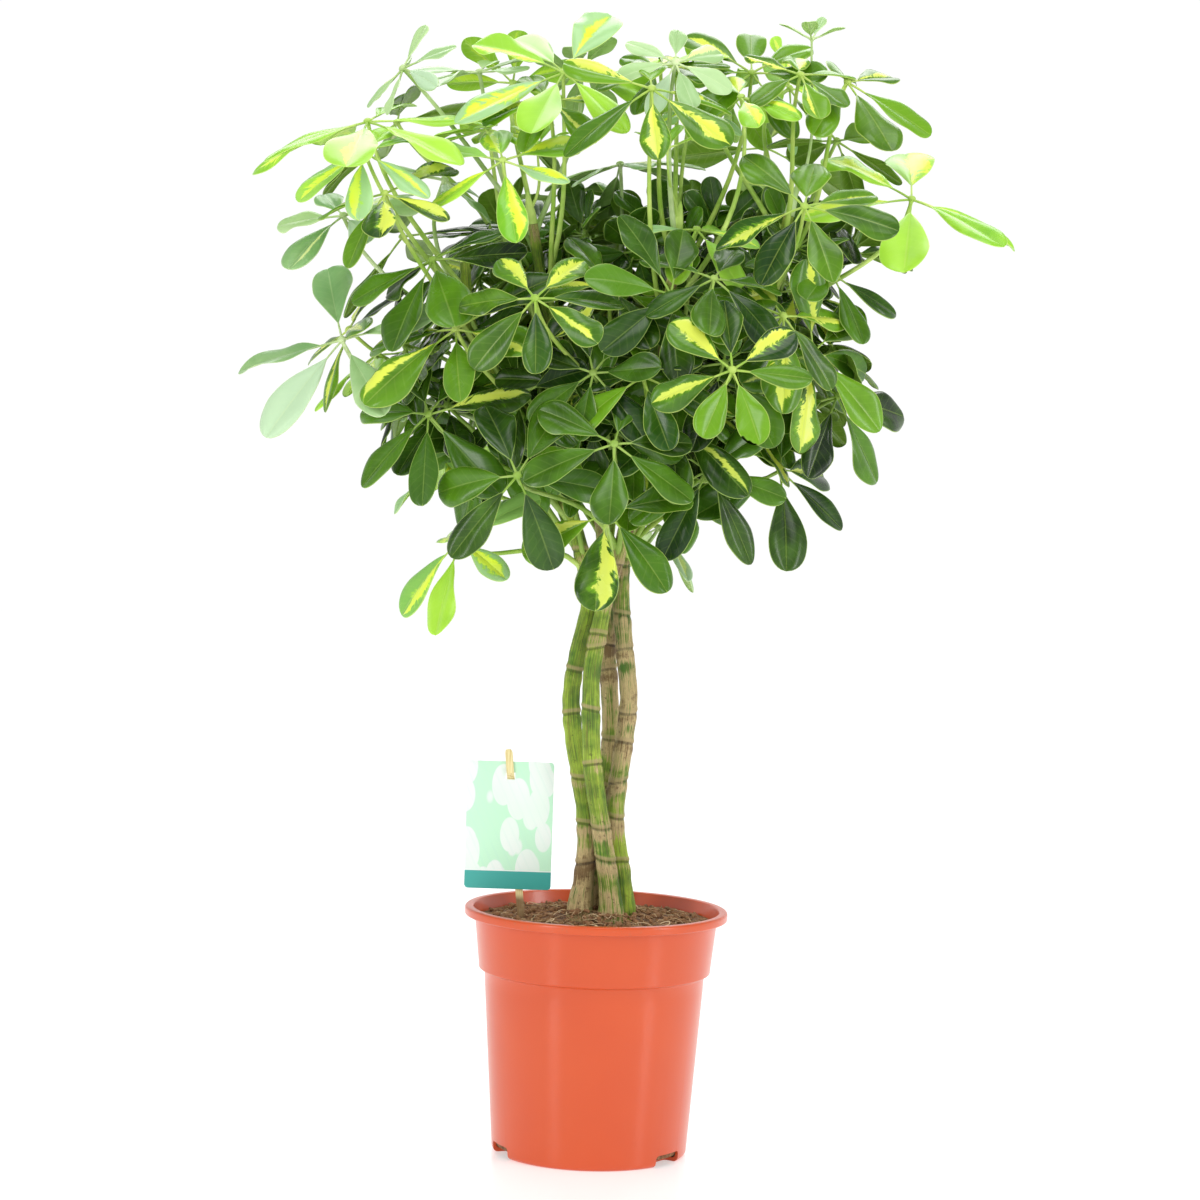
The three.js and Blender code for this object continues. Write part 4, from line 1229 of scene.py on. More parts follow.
@dataclass
class Trunk:
    """The four stems, trained into a lantern, and what grows on them."""

    routes: dict[str, tuple[Triple, ...]]
    scars: dict[str, tuple[float, ...]]
    ages: dict[str, tuple[Pair, ...]]  # how brown the bark is at a height
    base_radius: float = 7.8
    top_radius: float = 4.2
    soil_depth: float = 50.0
    rings: int = 400
    sides: int = 26
    flare: float = 2.6  # how much wider a stem is at its foot
    flare_heights: Triple = (150.0, 196.0, 16.0)  # where it begins, where it fades, and over how much
    knot_scale: float = 0.06
    knots: float = 0.35
    lumps: Pair = (0.11, 0.06)  # how close they are, and how high next to the radius
    scar_tilt: float = 0.2
    scar_turn: float = 2.4  # from one scar's tilt to the next
    ridges: tuple[Pair, ...] = ((0.0, 1.4), (2.8, 1.9), (-5.0, 5.0))  # groove, lip, swelling: place, width
    ridge_heights: Triple = (-0.5, 0.6, 0.5)

    def __post_init__(self) -> None:
        """Draws the stems' middle lines."""
        self.curves = {
            name: RouteCurve([np.array(route[0]) - UP * self.soil_depth, *map(np.array, route)])
            for name, route in self.routes.items()
        }

    def share(self, name: str, height: float) -> float:
        """The share of a stem's line at a height."""
        low, high = 0.0, 1.0
        for _ in range(30):
            middle = (low + high) / 2
            if self.curves[name].at(middle)[2] < height:
                low = middle
            else:
                high = middle
        return (low + high) / 2

    def place(self, name: str, height: float) -> np.ndarray:
        """The point of a stem's line at a height."""
        return self.curves[name].at(self.share(name, height))

    def radius(self, share: float, at: np.ndarray) -> float:
        """Radius of a stem at a share of its line: as its solid's, with a flared foot and knots."""
        begin, soil, fade = self.flare_heights
        flare = self.flare * math.exp(-max(0.0, at[2] - soil) / fade) if at[2] > begin else 0.0
        knots = self.knots * noise.noise(Vector(at) * self.knot_scale)
        return self.base_radius + (self.top_radius - self.base_radius) * share**2 + flare + knots

    def scarred(self, name: str, points: np.ndarray, out: np.ndarray) -> np.ndarray:
        """How much of a scar's groove, lip and swelling each point has, in three rows."""
        found = np.zeros((3, len(points)))
        for i, z in enumerate(self.scars[name]):
            turn = self.scar_turn * i
            tilt = self.scar_tilt * np.array((math.cos(turn), math.sin(turn), 0.0))
            level = points[:, 2] - z + out @ tilt
            own = [np.exp(-(((level - place) / width) ** 2)) for place, width in self.ridges]
            found = np.maximum(found, own)
        return found

    def build(self, name: str) -> bpy.types.Object:
        """Makes one stem, with its ring scars and a flared foot."""
        curve = self.curves[name]
        shares = np.linspace(0, 1, self.rings + 1)
        line = np.array([curve.at(s) for s in shares])
        run = np.concatenate(([0], np.cumsum(np.linalg.norm(np.diff(line, axis=0), axis=1))))
        tube = Pattern.tube(self.sides, self.rings)
        points = laid(tube, [(at, curve.way(s), self.radius(s, at)) for s, at in zip(shares, line)])
        rows = np.rint(tube.points[:, 2] * self.rings).astype(int)
        out = points - line[rows]
        scar, lip, swell = self.scarred(name, points, out)
        groove_height, lip_height, swell_height = self.ridge_heights
        relief = swell_height * swell + lip_height * lip + groove_height * scar
        close, high = self.lumps
        lumps = np.array([noise.noise(Vector(p) * close) for p in points]) * high
        lumps += relief / np.maximum(np.linalg.norm(out, axis=1), 3.0)
        turn = np.arctan2(tube.points[:, 1], tube.points[:, 0]) / math.tau
        marks = np.stack((turn, run[rows] * MM, scar), 1)
        worn = np.stack((np.interp(line[rows][:, 2], *zip(*self.ages[name])), swell, lip), 1)
        work = Assembly()
        work.add(points + out * lumps[:, None], tube.faces, bark=marks, age=worn)
        return work.piece(f"bark_{name}")


@dataclass(frozen=True)
class Zone:
    """A rounded room of the crown that is filled with leaves."""

    middle: Triple
    reach: Triple
    count: int
    spacing: float
    stalk: float
    size: float
    droop: float
    tones: tuple[Tone, ...]

    def spot(self, way: np.ndarray, draw: np.random.Generator) -> np.ndarray:
        """A place in the room, on the way out from its middle."""
        return np.array(self.middle) + way * self.reach * (0.35 + 0.65 * draw.random() ** 0.5)

    def axis(self, way: np.ndarray, draw: np.random.Generator) -> np.ndarray:
        """Where a leaf on that way looks: outwards, upwards and a little to the front."""
        outward = way * (1, 1, 0.3) * 0.8 + UP * 0.7 - np.array((0, 0.3, 0))
        return unit(outward + draw.normal(size=3) * 0.28)


@dataclass(frozen=True)
class Seeds:
    """Where each kind of leaf starts its run of numbers, and the steps from one to the next."""

    leaf: int = 1000
    leaf_step: int = 77
    shoot: int = 9000
    shoot_step: int = 500
    tip: int = 7000
    inner: int = 40000
    inner_step: int = 61
    fill: int = 12


@dataclass
class Crown:
    """All leaves, side shoots and growing tips."""

    trunk: Trunk
    foliage: Foliage
    rows: tuple[Row, ...]
    shoots: tuple[ShootRoute, ...]
    tips: dict[str, tuple[Triple, Tone]]
    zones: tuple[Zone, ...]
    seeds: Seeds = Seeds()
    under_top: float = 24.0  # the highest leaf starts this far under the end of its stem
    lowest: float = 462.0  # none starts lower than this
    under_hub: float = 70.0  # the lowest one starts this far under its hub
    shortest: float = 60.0  # least height over which a stem's leaves are spread
    shoot_radii: Triple = (4.4, 3.0, 0.4)  # at its foot, near its end and at its end
    shoot_leaves: int = 4
    fan: float = 190.0  # degrees that a shoot's leaves spread over
    stalk_out: float = 82.0  # how far out of the shoot a hub stands
    hub_rise: Pair = (9.6, 72.0)  # how far above its start the lowest hub stands, and the top one more
    bud_length: float = 26.0
    bud_radius: float = 4.2
    tries: int = 4000  # for the leaves of one zone
    clearance: Pair = (12.0, 10.0)  # of an inner leaf's leaflets and of its hub from a shown stalk

    def leaves(self) -> Iterator[tuple[str, Leaf, Tone]]:
        """The leaves of the front and sides, in order, each with its node."""
        starts = {}
        for name, route in self.trunk.routes.items():
            own = sorted((row.at[2], i) for i, row in enumerate(self.rows) if row.stem == name)
            top = route[-1][2] - self.under_top
            low = min(max(self.lowest, own[0][0] - self.under_hub), top - self.shortest)
            for place, (_, i) in enumerate(own):
                height = low + (top - low) * place / (len(own) - 1)
                starts[i] = self.trunk.place(name, height)
        for i, row in enumerate(self.rows):
            hub, axis = np.array(row.at, float), unit(np.array(row.face))
            seed = self.seeds.leaf + self.seeds.leaf_step * i
            leaf = Leaf(starts[i], hub, axis, row.reach, row.leaflets, seed, row.droop)
            yield f"leaf_{i + 1:02d}", leaf, row.tone

    def named(self) -> Iterator[tuple[str, Tone, bpy.types.Object, int]]:
        """Makes the pieces that stand for nodes: node, tone, piece and how many leaflets it has."""
        for node, leaf, tone in self.leaves():
            work = Assembly()
            grown = self.foliage.grow(work, leaf, tone, Match(node))
            yield node, tone, work.piece(node.replace("leaf", "foliage")), grown
        for i, shoot in enumerate(self.shoots):
            work = Assembly()
            grown = self.grow_shoot(work, i, shoot)
            yield f"shoot_{i + 1}", Tone.DARK, work.piece(f"spray_{i + 1}"), grown
        for stem, (hub, tone) in self.tips.items():
            work = Assembly()
            grown = self.grow_tip(work, stem, hub, tone)
            yield f"tip_{stem}", tone, work.piece(f"sprout_{stem}"), grown

    def grow_shoot(self, work: Assembly, index: int, shoot: ShootRoute) -> int:
        """Adds a side shoot with its leaves, and counts its leaflets."""
        match = Match(f"shoot_{index + 1}")
        foot = self.trunk.place(shoot.stem, shoot.height)
        curve = RouteCurve([foot, *map(np.array, shoot.route)])
        base, top, end = self.shoot_radii
        shares = np.linspace(0, 1, 19)
        stations = [(curve.at(s), curve.way(s), base - (base - top) * s) for s in shares[:-1]]
        stations.append((curve.at(1), curve.way(1), end))
        work.add_tube(self.foliage.stalk_tube, stations, leaf=(0.3, 0.0, Part.STALK.value), blade=NO_BLADE)
        away = unit((curve.at(1) - foot) * (1, 1, 0))
        low, more = self.hub_rise
        grown, count = 0, self.shoot_leaves
        for j in range(count):
            share = 0.5 + 0.5 * j / (count - 1)
            turn = math.radians(self.fan * (((j * 2) % count) / (count - 1) - 0.5))
            side = turned(away, UP, turn)
            start = curve.at(share)
            hub = start + side * self.stalk_out + UP * (low + more * share * share)
            seed = self.seeds.shoot + self.seeds.shoot_step * index + self.seeds.leaf_step * j
            leaf = Leaf(start, hub, unit(side * 0.5 + UP * 0.8), 78, 4, seed)
            grown += self.foliage.grow(work, leaf, Tone.DARK, match)
        return grown

    def grow_tip(self, work: Assembly, stem: str, hub: Triple, tone: Tone) -> int:
        """Adds a bud with a young leaf, and counts its leaflets."""
        curve = self.trunk.curves[stem]
        end, way = curve.at(1), curve.way(1)
        stations = []
        for rise in np.linspace(GAP, self.bud_length, 19):
            fullness = (1 - ((rise - GAP) / self.bud_length) ** 1.8) ** 0.7
            stations.append((end + way * rise, way, self.bud_radius * fullness + 0.05))
        work.add_tube(self.foliage.stalk_tube, stations, leaf=(0.5, 0.0, Part.STALK.value), blade=NO_BLADE)
        leaf = Leaf(end + way * 12, np.array(hub, float), UP, 32, 4, self.seeds.tip, droop=-40, scale=0.6)
        return self.foliage.grow(work, leaf, tone, Match(f"tip_{stem}"))

    def root(self, name: str, hub: np.ndarray, stalk: float) -> np.ndarray:
        """Where on a stem a leaf with this hub springs from."""
        top = self.trunk.routes[name][-1][2] - 8
        return self.trunk.place(name, min(max(hub[2] - stalk, 470), top))

    def offset(self, name: str, hub: np.ndarray, stalk: float) -> float:
        """How far a hub is from where it would spring from on a stem."""
        return float(np.linalg.norm(hub - self.root(name, hub, stalk)))

    def shown_stalks(self, least_hub: float = 780, lowest: float = 640) -> np.ndarray:
        """Points along the long stalks of the uppermost leaves, where they stand free at the front."""
        high = [leaf for _, leaf, _ in self.leaves() if leaf.hub[2] > least_hub]
        lines = [StalkCurve(leaf.start, leaf.hub, leaf.axis) for leaf in high]
        points = [line.at(share) for line in lines for share in np.linspace(0.1, 0.9, 24)]
        return np.array([point for point in points if point[1] < 0 and point[2] > lowest])

    def cuts_stalk(self, hub: np.ndarray, axis: np.ndarray, size: float, shown: np.ndarray) -> bool:
        """Whether a leaflet of an inner leaf would cut through a shown stalk."""
        off = shown - hub
        above = off @ axis
        far = np.linalg.norm(off - np.outer(above, axis), axis=1)
        level, inner = self.clearance
        return bool(np.any((abs(above) < level) & (far > inner) & (far < size)))

    def inner_leaves(self) -> dict[str, list[tuple[Leaf, Tone]]]:
        """Leaves that fill the crown between the named ones.

        Returns:
            The lower and the upper half of the leaves on each stem, by the stem's name.
        """
        draw = np.random.default_rng(self.seeds.fill)
        hubs = [np.array(row.at, float) for row in self.rows]
        shown = self.shown_stalks()
        found: dict[str, list[tuple[Leaf, Tone]]] = {name: [] for name in self.trunk.routes}
        for zone in self.zones:
            made = 0
            for _ in range(self.tries):
                if made == zone.count:
                    break
                way = unit(draw.normal(size=3))
                hub = zone.spot(way, draw)
                if min(np.linalg.norm(hub - other) for other in hubs) < zone.spacing:
                    continue
                axis = zone.axis(way, draw)
                size = zone.size * (0.85 + 0.3 * draw.random())
                if self.cuts_stalk(hub, axis, size, shown):
                    continue
                tone = zone.tones[int(draw.integers(len(zone.tones)))]
                name = min(self.trunk.routes, key=lambda stem: self.offset(stem, hub, zone.stalk))
                start = self.root(name, hub, zone.stalk)
                seed = self.seeds.inner + self.seeds.inner_step * len(hubs)
                found[name].append((Leaf(start, hub, axis, size, 7, seed, zone.droop), tone))
                hubs.append(hub)
                made += 1
        halves = {}
        for name, own in found.items():
            own.sort(key=lambda item: item[0].hub[2])
            middle = len(own) // 2
            halves[f"{name}_low"], halves[f"{name}_high"] = own[:middle], own[middle:]
        return halves

    def build_inner(self, name: str, own: list[tuple[Leaf, Tone]], order: list[Tone]) -> bpy.types.Object:
        """Makes a piece of the leaves that fill the crown round one stem."""
        work = Assembly()
        for leaf, tone in own:
            first = len(work.faces)
            self.foliage.grow(work, leaf, tone)
            work.skins.extend([order.index(tone)] * (len(work.faces) - first))
        return work.piece(f"inner_leaves_{name}")


# ---------------------------------------------------------------- pot, soil and label


@dataclass
class Pot:
    """A moulded nursery pot with a rolled lip, a smooth band, a ledge and drain slots."""

    height: float = 196.0
    lip_radius: float = 105.0
    lip_height: float = 7.0
    mouth_radius: float = 98.0
    band_top: float = 97.0
    band_foot: float = 92.5
    ledge: float = 146.0
    ledge_depth: float = 4.5
    foot_radius: float = 78.0
    wall: float = 2.5
    floor: float = 3.0
    slots: tuple[float, ...] = (-36.0, -156.0, 84.0)
    slot_size: Triple = (28.0, 30.0, 19.0)
    steps: int = 120

    def round_off(self, centre: Pair, size: float, first: int, last: int) -> list[Pair]:
        """Points of an arc, from one angle in degrees to another."""
        angles = (math.radians(first + (last - first) * i / 5) for i in range(6))
        return [(centre[0] + size * math.cos(a), centre[1] + size * math.sin(a)) for a in angles]

    def profile(self) -> list[Pair]:
        """The wall's outline: up the outside, over the lip and down the inside."""
        under = self.band_foot - self.ledge_depth
        lip_foot, top = self.height - self.lip_height, self.height
        inner_foot = self.foot_radius - self.wall
        foot = [
            (0, 0), (self.foot_radius - 8, 0), *self.round_off((self.foot_radius - 4.2, 4.2), 4.2, -90, -4),
        ]
        ledge = [
            (under - 0.8, self.ledge - 14), (under - 0.2, self.ledge - 2.6), (under + 0.5, self.ledge - 1.4),
            (self.band_foot - 1.8, self.ledge + 0.2),
            *self.round_off((self.band_foot - 1, self.ledge + 1.3), 1.0, -70, 0),
        ]
        band = [
            (self.band_foot + 0.3, self.ledge + 5), (self.band_top - 0.4, lip_foot - 3),
            (self.band_top + 0.1, lip_foot - 0.9), (self.band_top + 1, lip_foot - 0.2),
        ]
        lip = [
            *self.round_off((self.lip_radius - 1.4, lip_foot + 1.4), 1.4, -90, 0),
            *self.round_off((self.lip_radius - 2, top - 2), 2.0, 0, 90),
            *self.round_off((self.mouth_radius + 1.6, top - 1.6), 1.6, 90, 180),
        ]
        inside = [
            (self.band_top - self.wall, lip_foot - 3), (self.band_foot - self.wall, self.ledge + self.wall),
            (under - self.wall, self.ledge + self.wall - 2), (inner_foot, self.floor + 2),
            (inner_foot - 2, self.floor), (0, self.floor),
        ]
        return foot + ledge + band + lip + inside

    def build(self) -> bpy.types.Object:
        """Makes the pot."""
        shell = Bench.spun("pot_shell", self.profile(), self.steps)
        for azimuth in self.slots:
            slot = Bench.box("slot", (self.foot_radius, 0, 0), self.slot_size, azimuth)
            Bench.bevel(slot, 3, 4, 50)
            Bench.cut(shell, slot)
        Bench.smooth(shell, 30)
        return shell


@dataclass
class Soil:
    """Peat that fills the pot, with crumbs, fibres and fine roots on top."""

    pot: Pot
    edge: float = 189.0
    top: float = 201.0
    sunk: float = 3.2  # how far the heap's edge is under the bed's
    heap: float = 9.0  # how much higher it is at the stems
    heap_radius: float = 88.0
    lump: float = 2.6
    lump_scale: float = 0.055
    reach: Triple = (92.0, 91.0, 93.0)  # how far from the middle crumbs, fibres and their ends lie
    crumbs: int = 1500
    fibres: int = 620
    roots: tuple[Triple, ...] = (  # place, and size next to the largest one
        (6, -62, 1.0), (-40, -48, 0.7), (52, -40, 0.8), (-70, -20, 0.6), (30, 48, 0.8),
    )

    def height(self, x: float, y: float) -> float:
        """Height of the heap of crumbs and fibres at a place."""
        radius = math.hypot(x, y)
        rise = 0.5 + 0.5 * math.cos(math.pi * min(radius / self.heap_radius, 1))
        lumps = noise.fractal(Vector((x, y, 3)) * self.lump_scale, 1.0, 2.0, 4)
        return min(self.edge - self.sunk + rise * self.heap + lumps * self.lump, self.top - 0.5)

    def bed(self) -> bpy.types.Object:
        """Makes the body of peat, level on top, and what lies on it."""
        wall = self.pot.wall + GAP
        inner = self.pot.band_top - wall
        level = [(inner - i * 2.2, self.edge - 3) for i in range(41)]
        outline = [
            (0, self.pot.floor + GAP), (self.pot.foot_radius - wall, self.pot.floor + 2 + GAP),
            (self.pot.band_foot - self.pot.ledge_depth - wall, self.pot.ledge + 0.5),
            (self.pot.band_foot - wall, self.pot.ledge + 3), (inner, self.edge - 6),
            *level, (0, self.edge - 3),
        ]
        bed = Pattern.of(Bench.spun("peat", outline, 128))
        work = Assembly()
        work.add(bed.points / MM, bed.faces, grit=(Grit.PEAT.value, 0.0, 0.0))
        self.scatter(work)
        self.lay_fibres(work)
        return work.piece("peat_bed")

    def place(self, draw: np.random.Generator, reach: float) -> np.ndarray:
        """A place on the peat, evenly spread over it."""
        radius, angle = reach * math.sqrt(draw.random()), draw.random() * math.tau
        x, y = radius * math.cos(angle), radius * math.sin(angle)
        return np.array((x, y, self.height(x, y)))

    def scatter(self, work: Assembly) -> None:
        """Adds crumbs."""
        crumb, draw = Pattern.crumb(), np.random.default_rng(31)
        for _ in range(self.crumbs):
            at = self.place(draw, self.reach[0])
            size = 0.6 + 2.4 * draw.random() ** 3
            angle, axis = draw.random() * math.tau, Vector(draw.normal(size=3)).normalized()
            turn = np.array(Matrix.Rotation(angle, 3, axis))
            at[2] = min(at[2] + size * 0.2, self.top - size)
            mark = (Grit.CRUMB.value, float(draw.random()), 0.0)
            work.add(at + crumb.points @ turn.T * size, crumb.faces, grit=mark)

    def lay_fibres(self, work: Assembly) -> None:
        """Adds fibres, and a few looped roots."""
        hair, root = Pattern.tube(4, 5), Pattern.tube(6, 14)
        draw = np.random.default_rng(47)
        for _ in range(self.fibres):
            at = self.place(draw, self.reach[1])
            angle, bow = draw.random() * math.tau, draw.normal() * 0.5
            length, thick = 5 + 17 * draw.random() ** 2, 0.13 + 0.2 * draw.random()
            line = self.line(at, angle, bow, length, 5, 0.5 + 2.2 * draw.random() ** 2)
            mark = (Grit.FIBRE.value, float(draw.random()), 0.0)
            work.add_tube(hair, self.stations(line, thick), grit=mark)
        for x, y, size in self.roots:
            at = np.array((x, y, self.height(x, y)))
            line = self.line(at, draw.random() * math.tau, 2.4, 26 * size, 14, 5 * size)
            work.add_tube(root, self.stations(line, 0.5 * size), grit=(Grit.FIBRE.value, 1.0, 0.0))

    def line(
        self, at: np.ndarray, angle: float, bow: float, length: float, steps: int, hump: float
    ) -> list[np.ndarray]:
        """Points of a bowed line that rises off the peat in its middle."""
        points = []
        x, y = at[:2]
        end = self.reach[2]
        for i in range(steps + 1):
            share = i / steps
            z = min(self.height(x, y) + 0.2 + hump * math.sin(math.pi * share), self.top - 0.4)
            points.append(np.array((x, y, z)))
            x += math.cos(angle + bow * share * 2) * length / steps
            y += math.sin(angle + bow * share * 2) * length / steps
            if math.hypot(x, y) > end:
                x, y = x * end / math.hypot(x, y), y * end / math.hypot(x, y)
        return points

    def stations(self, line: list[np.ndarray], radius: float) -> Stations:
        """Rings along a line, thinner at its ends."""
        made = []
        for i, at in enumerate(line):
            way = line[min(i + 1, len(line) - 1)] - line[max(i - 1, 0)]
            way = unit(way) if np.linalg.norm(way) > 1e-6 else UP
            made.append((at, way, radius * (0.35 if i in (0, len(line) - 1) else 1.0)))
        return made


@dataclass
class Label:
    """A card hung on a flat stake that passes through a slit in it."""

    width: float = 69.0
    height: float = 102.0
    thickness: float = 1.0
    bottom: float = 209.5
    x: float = -71.5
    y: float = -7.0
    corner: float = 3.0
    slit: Triple = (7.4, 5.6, 300.0)  # width, height and the height that it is at
    stake_width: float = 6.0
    stake_thickness: float = 1.2
    front: float = -9.0
    back: float = -5.0
    soil: Pair = (-61.0, 198.0)  # the stake's middle and height at the soil
    tip: Pair = (-73.7, 321.5)  # and at its top
    end: float = 150.0

    def stake_x(self, z: float) -> float:
        """The stake leans a little: its middle at a height."""
        x, foot = self.soil
        return x + (z - foot) / (self.tip[1] - foot) * (self.tip[0] - x)

    def card(self) -> bpy.types.Object:
        """Makes the card."""
        sheet = Bench.start("plane", "card_sheet", size=1, rotation=(math.pi / 2, 0, 0))
        Bench.settle(sheet)
        centre = Vector((self.x, self.y - self.thickness / 2, self.bottom + self.height / 2)) * MM
        with Bench.edit(sheet):
            Bench.pick_all()
            size = (self.width * MM, 1, self.height * MM)
            bpy.ops.transform.resize(value=size, center_override=(0, 0, 0))
            bpy.ops.transform.translate(value=centre)
            bpy.ops.mesh.bevel(offset=self.corner * MM, segments=6, affect="VERTICES")
            Bench.pick_all()
            bpy.ops.mesh.extrude_region_move(TRANSFORM_OT_translate={"value": (0, self.thickness * MM, 0)})
            Bench.face_out()
        width, height, z = self.slit
        tool = Bench.box("slit", (self.stake_x(z), self.y, z), (width, self.thickness * 4, height))
        Bench.cut(sheet, tool)
        Bench.bevel(sheet, 0.15, 2, 60)
        Bench.smooth(sheet, 35)
        return sheet

    def stake_runs(self) -> list[Triple]:
        """The stake's bends: their height, y, and width there next to the full one."""
        end, slit, top = self.end, self.slit[2], self.tip[1]
        behind = ((end, 0.35), (end + 18, 1.0), (end + 60, 1.0), (slit - 30, 1.0), (slit - 2.5, 1.0))
        before = ((slit + 2.5, 1.0), (slit + 12, 1.0), (top - 2.6, 1.0), (top - 0.8, 0.8), (top, 0.5))
        sides = (self.back, behind), (self.front, before)
        return [(z, y, share) for y, stretch in sides for z, share in stretch]

    def stake(self) -> bpy.types.Object:
        """Makes the stake, extruded from its point in the soil to its top."""
        runs = self.stake_runs()
        places = [Vector((self.stake_x(z), y, z)) * MM for z, y, _ in runs]
        widths = [share for _, _, share in runs]
        strip = Bench.start("plane", "stake_strip", size=1)
        with Bench.edit(strip):
            Bench.pick_all()
            size = (self.stake_width * widths[0] * MM, self.stake_thickness * MM, 1)
            bpy.ops.transform.resize(value=size, center_override=(0, 0, 0))
            bpy.ops.transform.translate(value=places[0])
            for i, place in enumerate(places[1:]):
                bpy.ops.mesh.extrude_region_move(TRANSFORM_OT_translate={"value": place - places[i]})
                bpy.ops.transform.resize(value=(widths[i + 1] / widths[i], 1, 1), center_override=place)
            Bench.face_out()
        Bench.bevel(strip, 0.3, 2, 60)
        Bench.smooth(strip, 35)
        return strip


# ---------------------------------------------------------------- studio


@dataclass
class Studio:
    """Floor, lights and camera, as in a plain white product picture."""

    distance: float = 2.5
    eye_height: float = 0.565
    aim: Triple = (-0.005, 0.0, 0.442)
    roll: float = 1.85
    view: float = 21.6
    floor_reach: float = 14.0
    room: tuple[tuple[str, float], ...] = (  # brightness of the room from its horizon up
        ("From Min", 0.2), ("From Max", 0.5), ("To Min", 1.02), ("To Max", 0.45),
    )

    def floor(self) -> bpy.types.Object:
        """Makes the floor."""
        ground = Bench.start("plane", "studio_floor", size=self.floor_reach)
        ground.data.materials.append(FloorPaint().material())
        return ground

    def lamp(self, name: str, at: Triple, size: tuple[float, float], power: float) -> None:
        """Adds a soft box that faces the plant.

        Args:
            name: Its name.
            at: Where it stands.
            size: Width and height.
            power: Watts.
        """
        light = bpy.data.lights.new(name, "AREA")
        light.shape, light.size, light.size_y, light.energy = "RECTANGLE", *size, power
        lamp = bpy.data.objects.new(name, light)
        lamp.location = at
        lamp.rotation_euler = (Vector((0, 0, 0.45)) - Vector(at)).to_track_quat("-Z", "Y").to_euler()
        bpy.context.scene.collection.objects.link(lamp)

    def light(self) -> None:
        """Adds the soft boxes, and a white room that is brightest round the horizon."""
        self.lamp("left_box", (-1.35, -1.55, 1.0), (0.4, 1.5), 13)
        self.lamp("right_box", (1.8, -1.0, 1.0), (0.4, 1.5), 13)
        self.lamp("top_box", (0.2, -0.7, 2.3), (1.2, 1.2), 14)
        self.lamp("rear_box", (0.0, 1.3, 2.2), (2.0, 1.2), 26)
        world = bpy.data.worlds.new("white_room")
        world.use_nodes = True
        nodes, links = world.node_tree.nodes, world.node_tree.links
        way, parts = nodes.new("ShaderNodeTexCoord"), nodes.new("ShaderNodeSeparateXYZ")
        band = nodes.new("ShaderNodeMapRange")
        band.interpolation_type = "SMOOTHSTEP"
        for key, value in self.room:
            band.inputs[key].default_value = value
        links.new(way.outputs["Generated"], parts.inputs[0])
        links.new(parts.outputs["Z"], band.inputs["Value"])
        links.new(band.outputs[0], nodes["Background"].inputs["Strength"])
        nodes["Background"].inputs["Color"].default_value = (1, 1, 1, 1)
        bpy.context.scene.world = world
        bpy.context.scene.view_settings.view_transform = "Standard"

    def camera(self) -> None:
        """Places the camera at the picture's angle."""
        data = bpy.data.cameras.new("camera")
        data.sensor_width, data.sensor_fit = 36.0, "HORIZONTAL"
        data.lens = data.sensor_width / 2 / math.tan(math.radians(self.view / 2))
        camera = bpy.data.objects.new("camera", data)
        eye = Vector((self.aim[0], -self.distance, self.eye_height))
        look = (Vector(self.aim) - eye).to_track_quat("-Z", "Y").to_matrix().to_4x4()
        roll = Matrix.Rotation(math.radians(self.roll), 4, "Z")
        camera.matrix_world = Matrix.Translation(eye) @ look @ roll
        bpy.context.scene.collection.objects.link(camera)
        bpy.context.scene.camera = camera


# ---------------------------------------------------------------- the plant


STEM_ROUTES: dict[str, tuple[Triple, ...]] = {
    "left": (
        (-13.5, -2, 190), (-10.5, -1, 221), (-9.5, 0, 255), (-14, 3, 290), (-22, 2, 330), (-25.4, 0, 366),
        (-20.5, -2, 404), (-13.8, -3, 440), (-24, -9, 490), (-45, -20, 545), (-80, -25, 600),
        (-112, -22, 650), (-120, -15, 705),
    ),
    "front": (
        (12.5, -10, 190), (7, -12, 231), (0.5, -13, 268), (-6.6, -20, 312), (-9, -23, 345), (-9.5, -20, 385),
        (-4, -14.5, 425), (0, -13.5, 447), (14, -22, 500), (28, -32, 560), (38, -34, 640), (46, -26, 732),
    ),
    "right": (
        (21.5, 6, 190), (19, 5, 219), (13, 2.5, 258), (13, 2.5, 284), (17.6, 4, 328), (20.4, 4, 364),
        (16, 2.5, 403), (12, 1, 445), (13, 4, 483), (32, 6, 525), (64, 4, 566), (98, -2, 622), (120, -8, 685),
        (134, -10, 750),
    ),
    "back": (
        (3, 17, 190), (1, 15.5, 231), (1, 15, 265), (6, 21, 305), (7, 24, 338), (3, 20, 390), (0.5, 14, 428),
        (-1, 13.5, 450), (-8, 17, 520), (-30, 18, 600), (-56, 12, 680), (-68, 4, 738),
    ),
}

STEM_SCARS: dict[str, tuple[float, ...]] = {
    "left": (385, 350, 300, 262, 232, 455, 480, 520, 560),
    "front": (356, 312, 262, 415, 405, 236, 470, 505, 545, 600),
    "right": (431, 403, 353, 328, 297, 269, 232, 470, 500, 540, 590),
    "back": (406, 385, 330, 290, 250, 470, 510, 560, 620),
}

STEM_AGES: dict[str, tuple[Pair, ...]] = {
    "left": ((190, 1.0), (235, 0.9), (270, 0.25), (350, 0.0), (420, 0.15), (500, 0.1), (600, 0.3)),
    "front": (
        (190, 0.8), (235, 0.65), (262, 0.7), (285, 0.3), (330, 0.0), (400, 0.1), (450, 0.7), (560, 0.5),
    ),
    "right": ((190, 0.2), (240, 0.1), (300, 0.7), (350, 0.9), (395, 1.0), (440, 0.7), (520, 0.4)),
    "back": ((190, 0.9), (250, 0.7), (330, 0.6), (380, 0.9), (430, 0.8), (520, 0.4)),
}

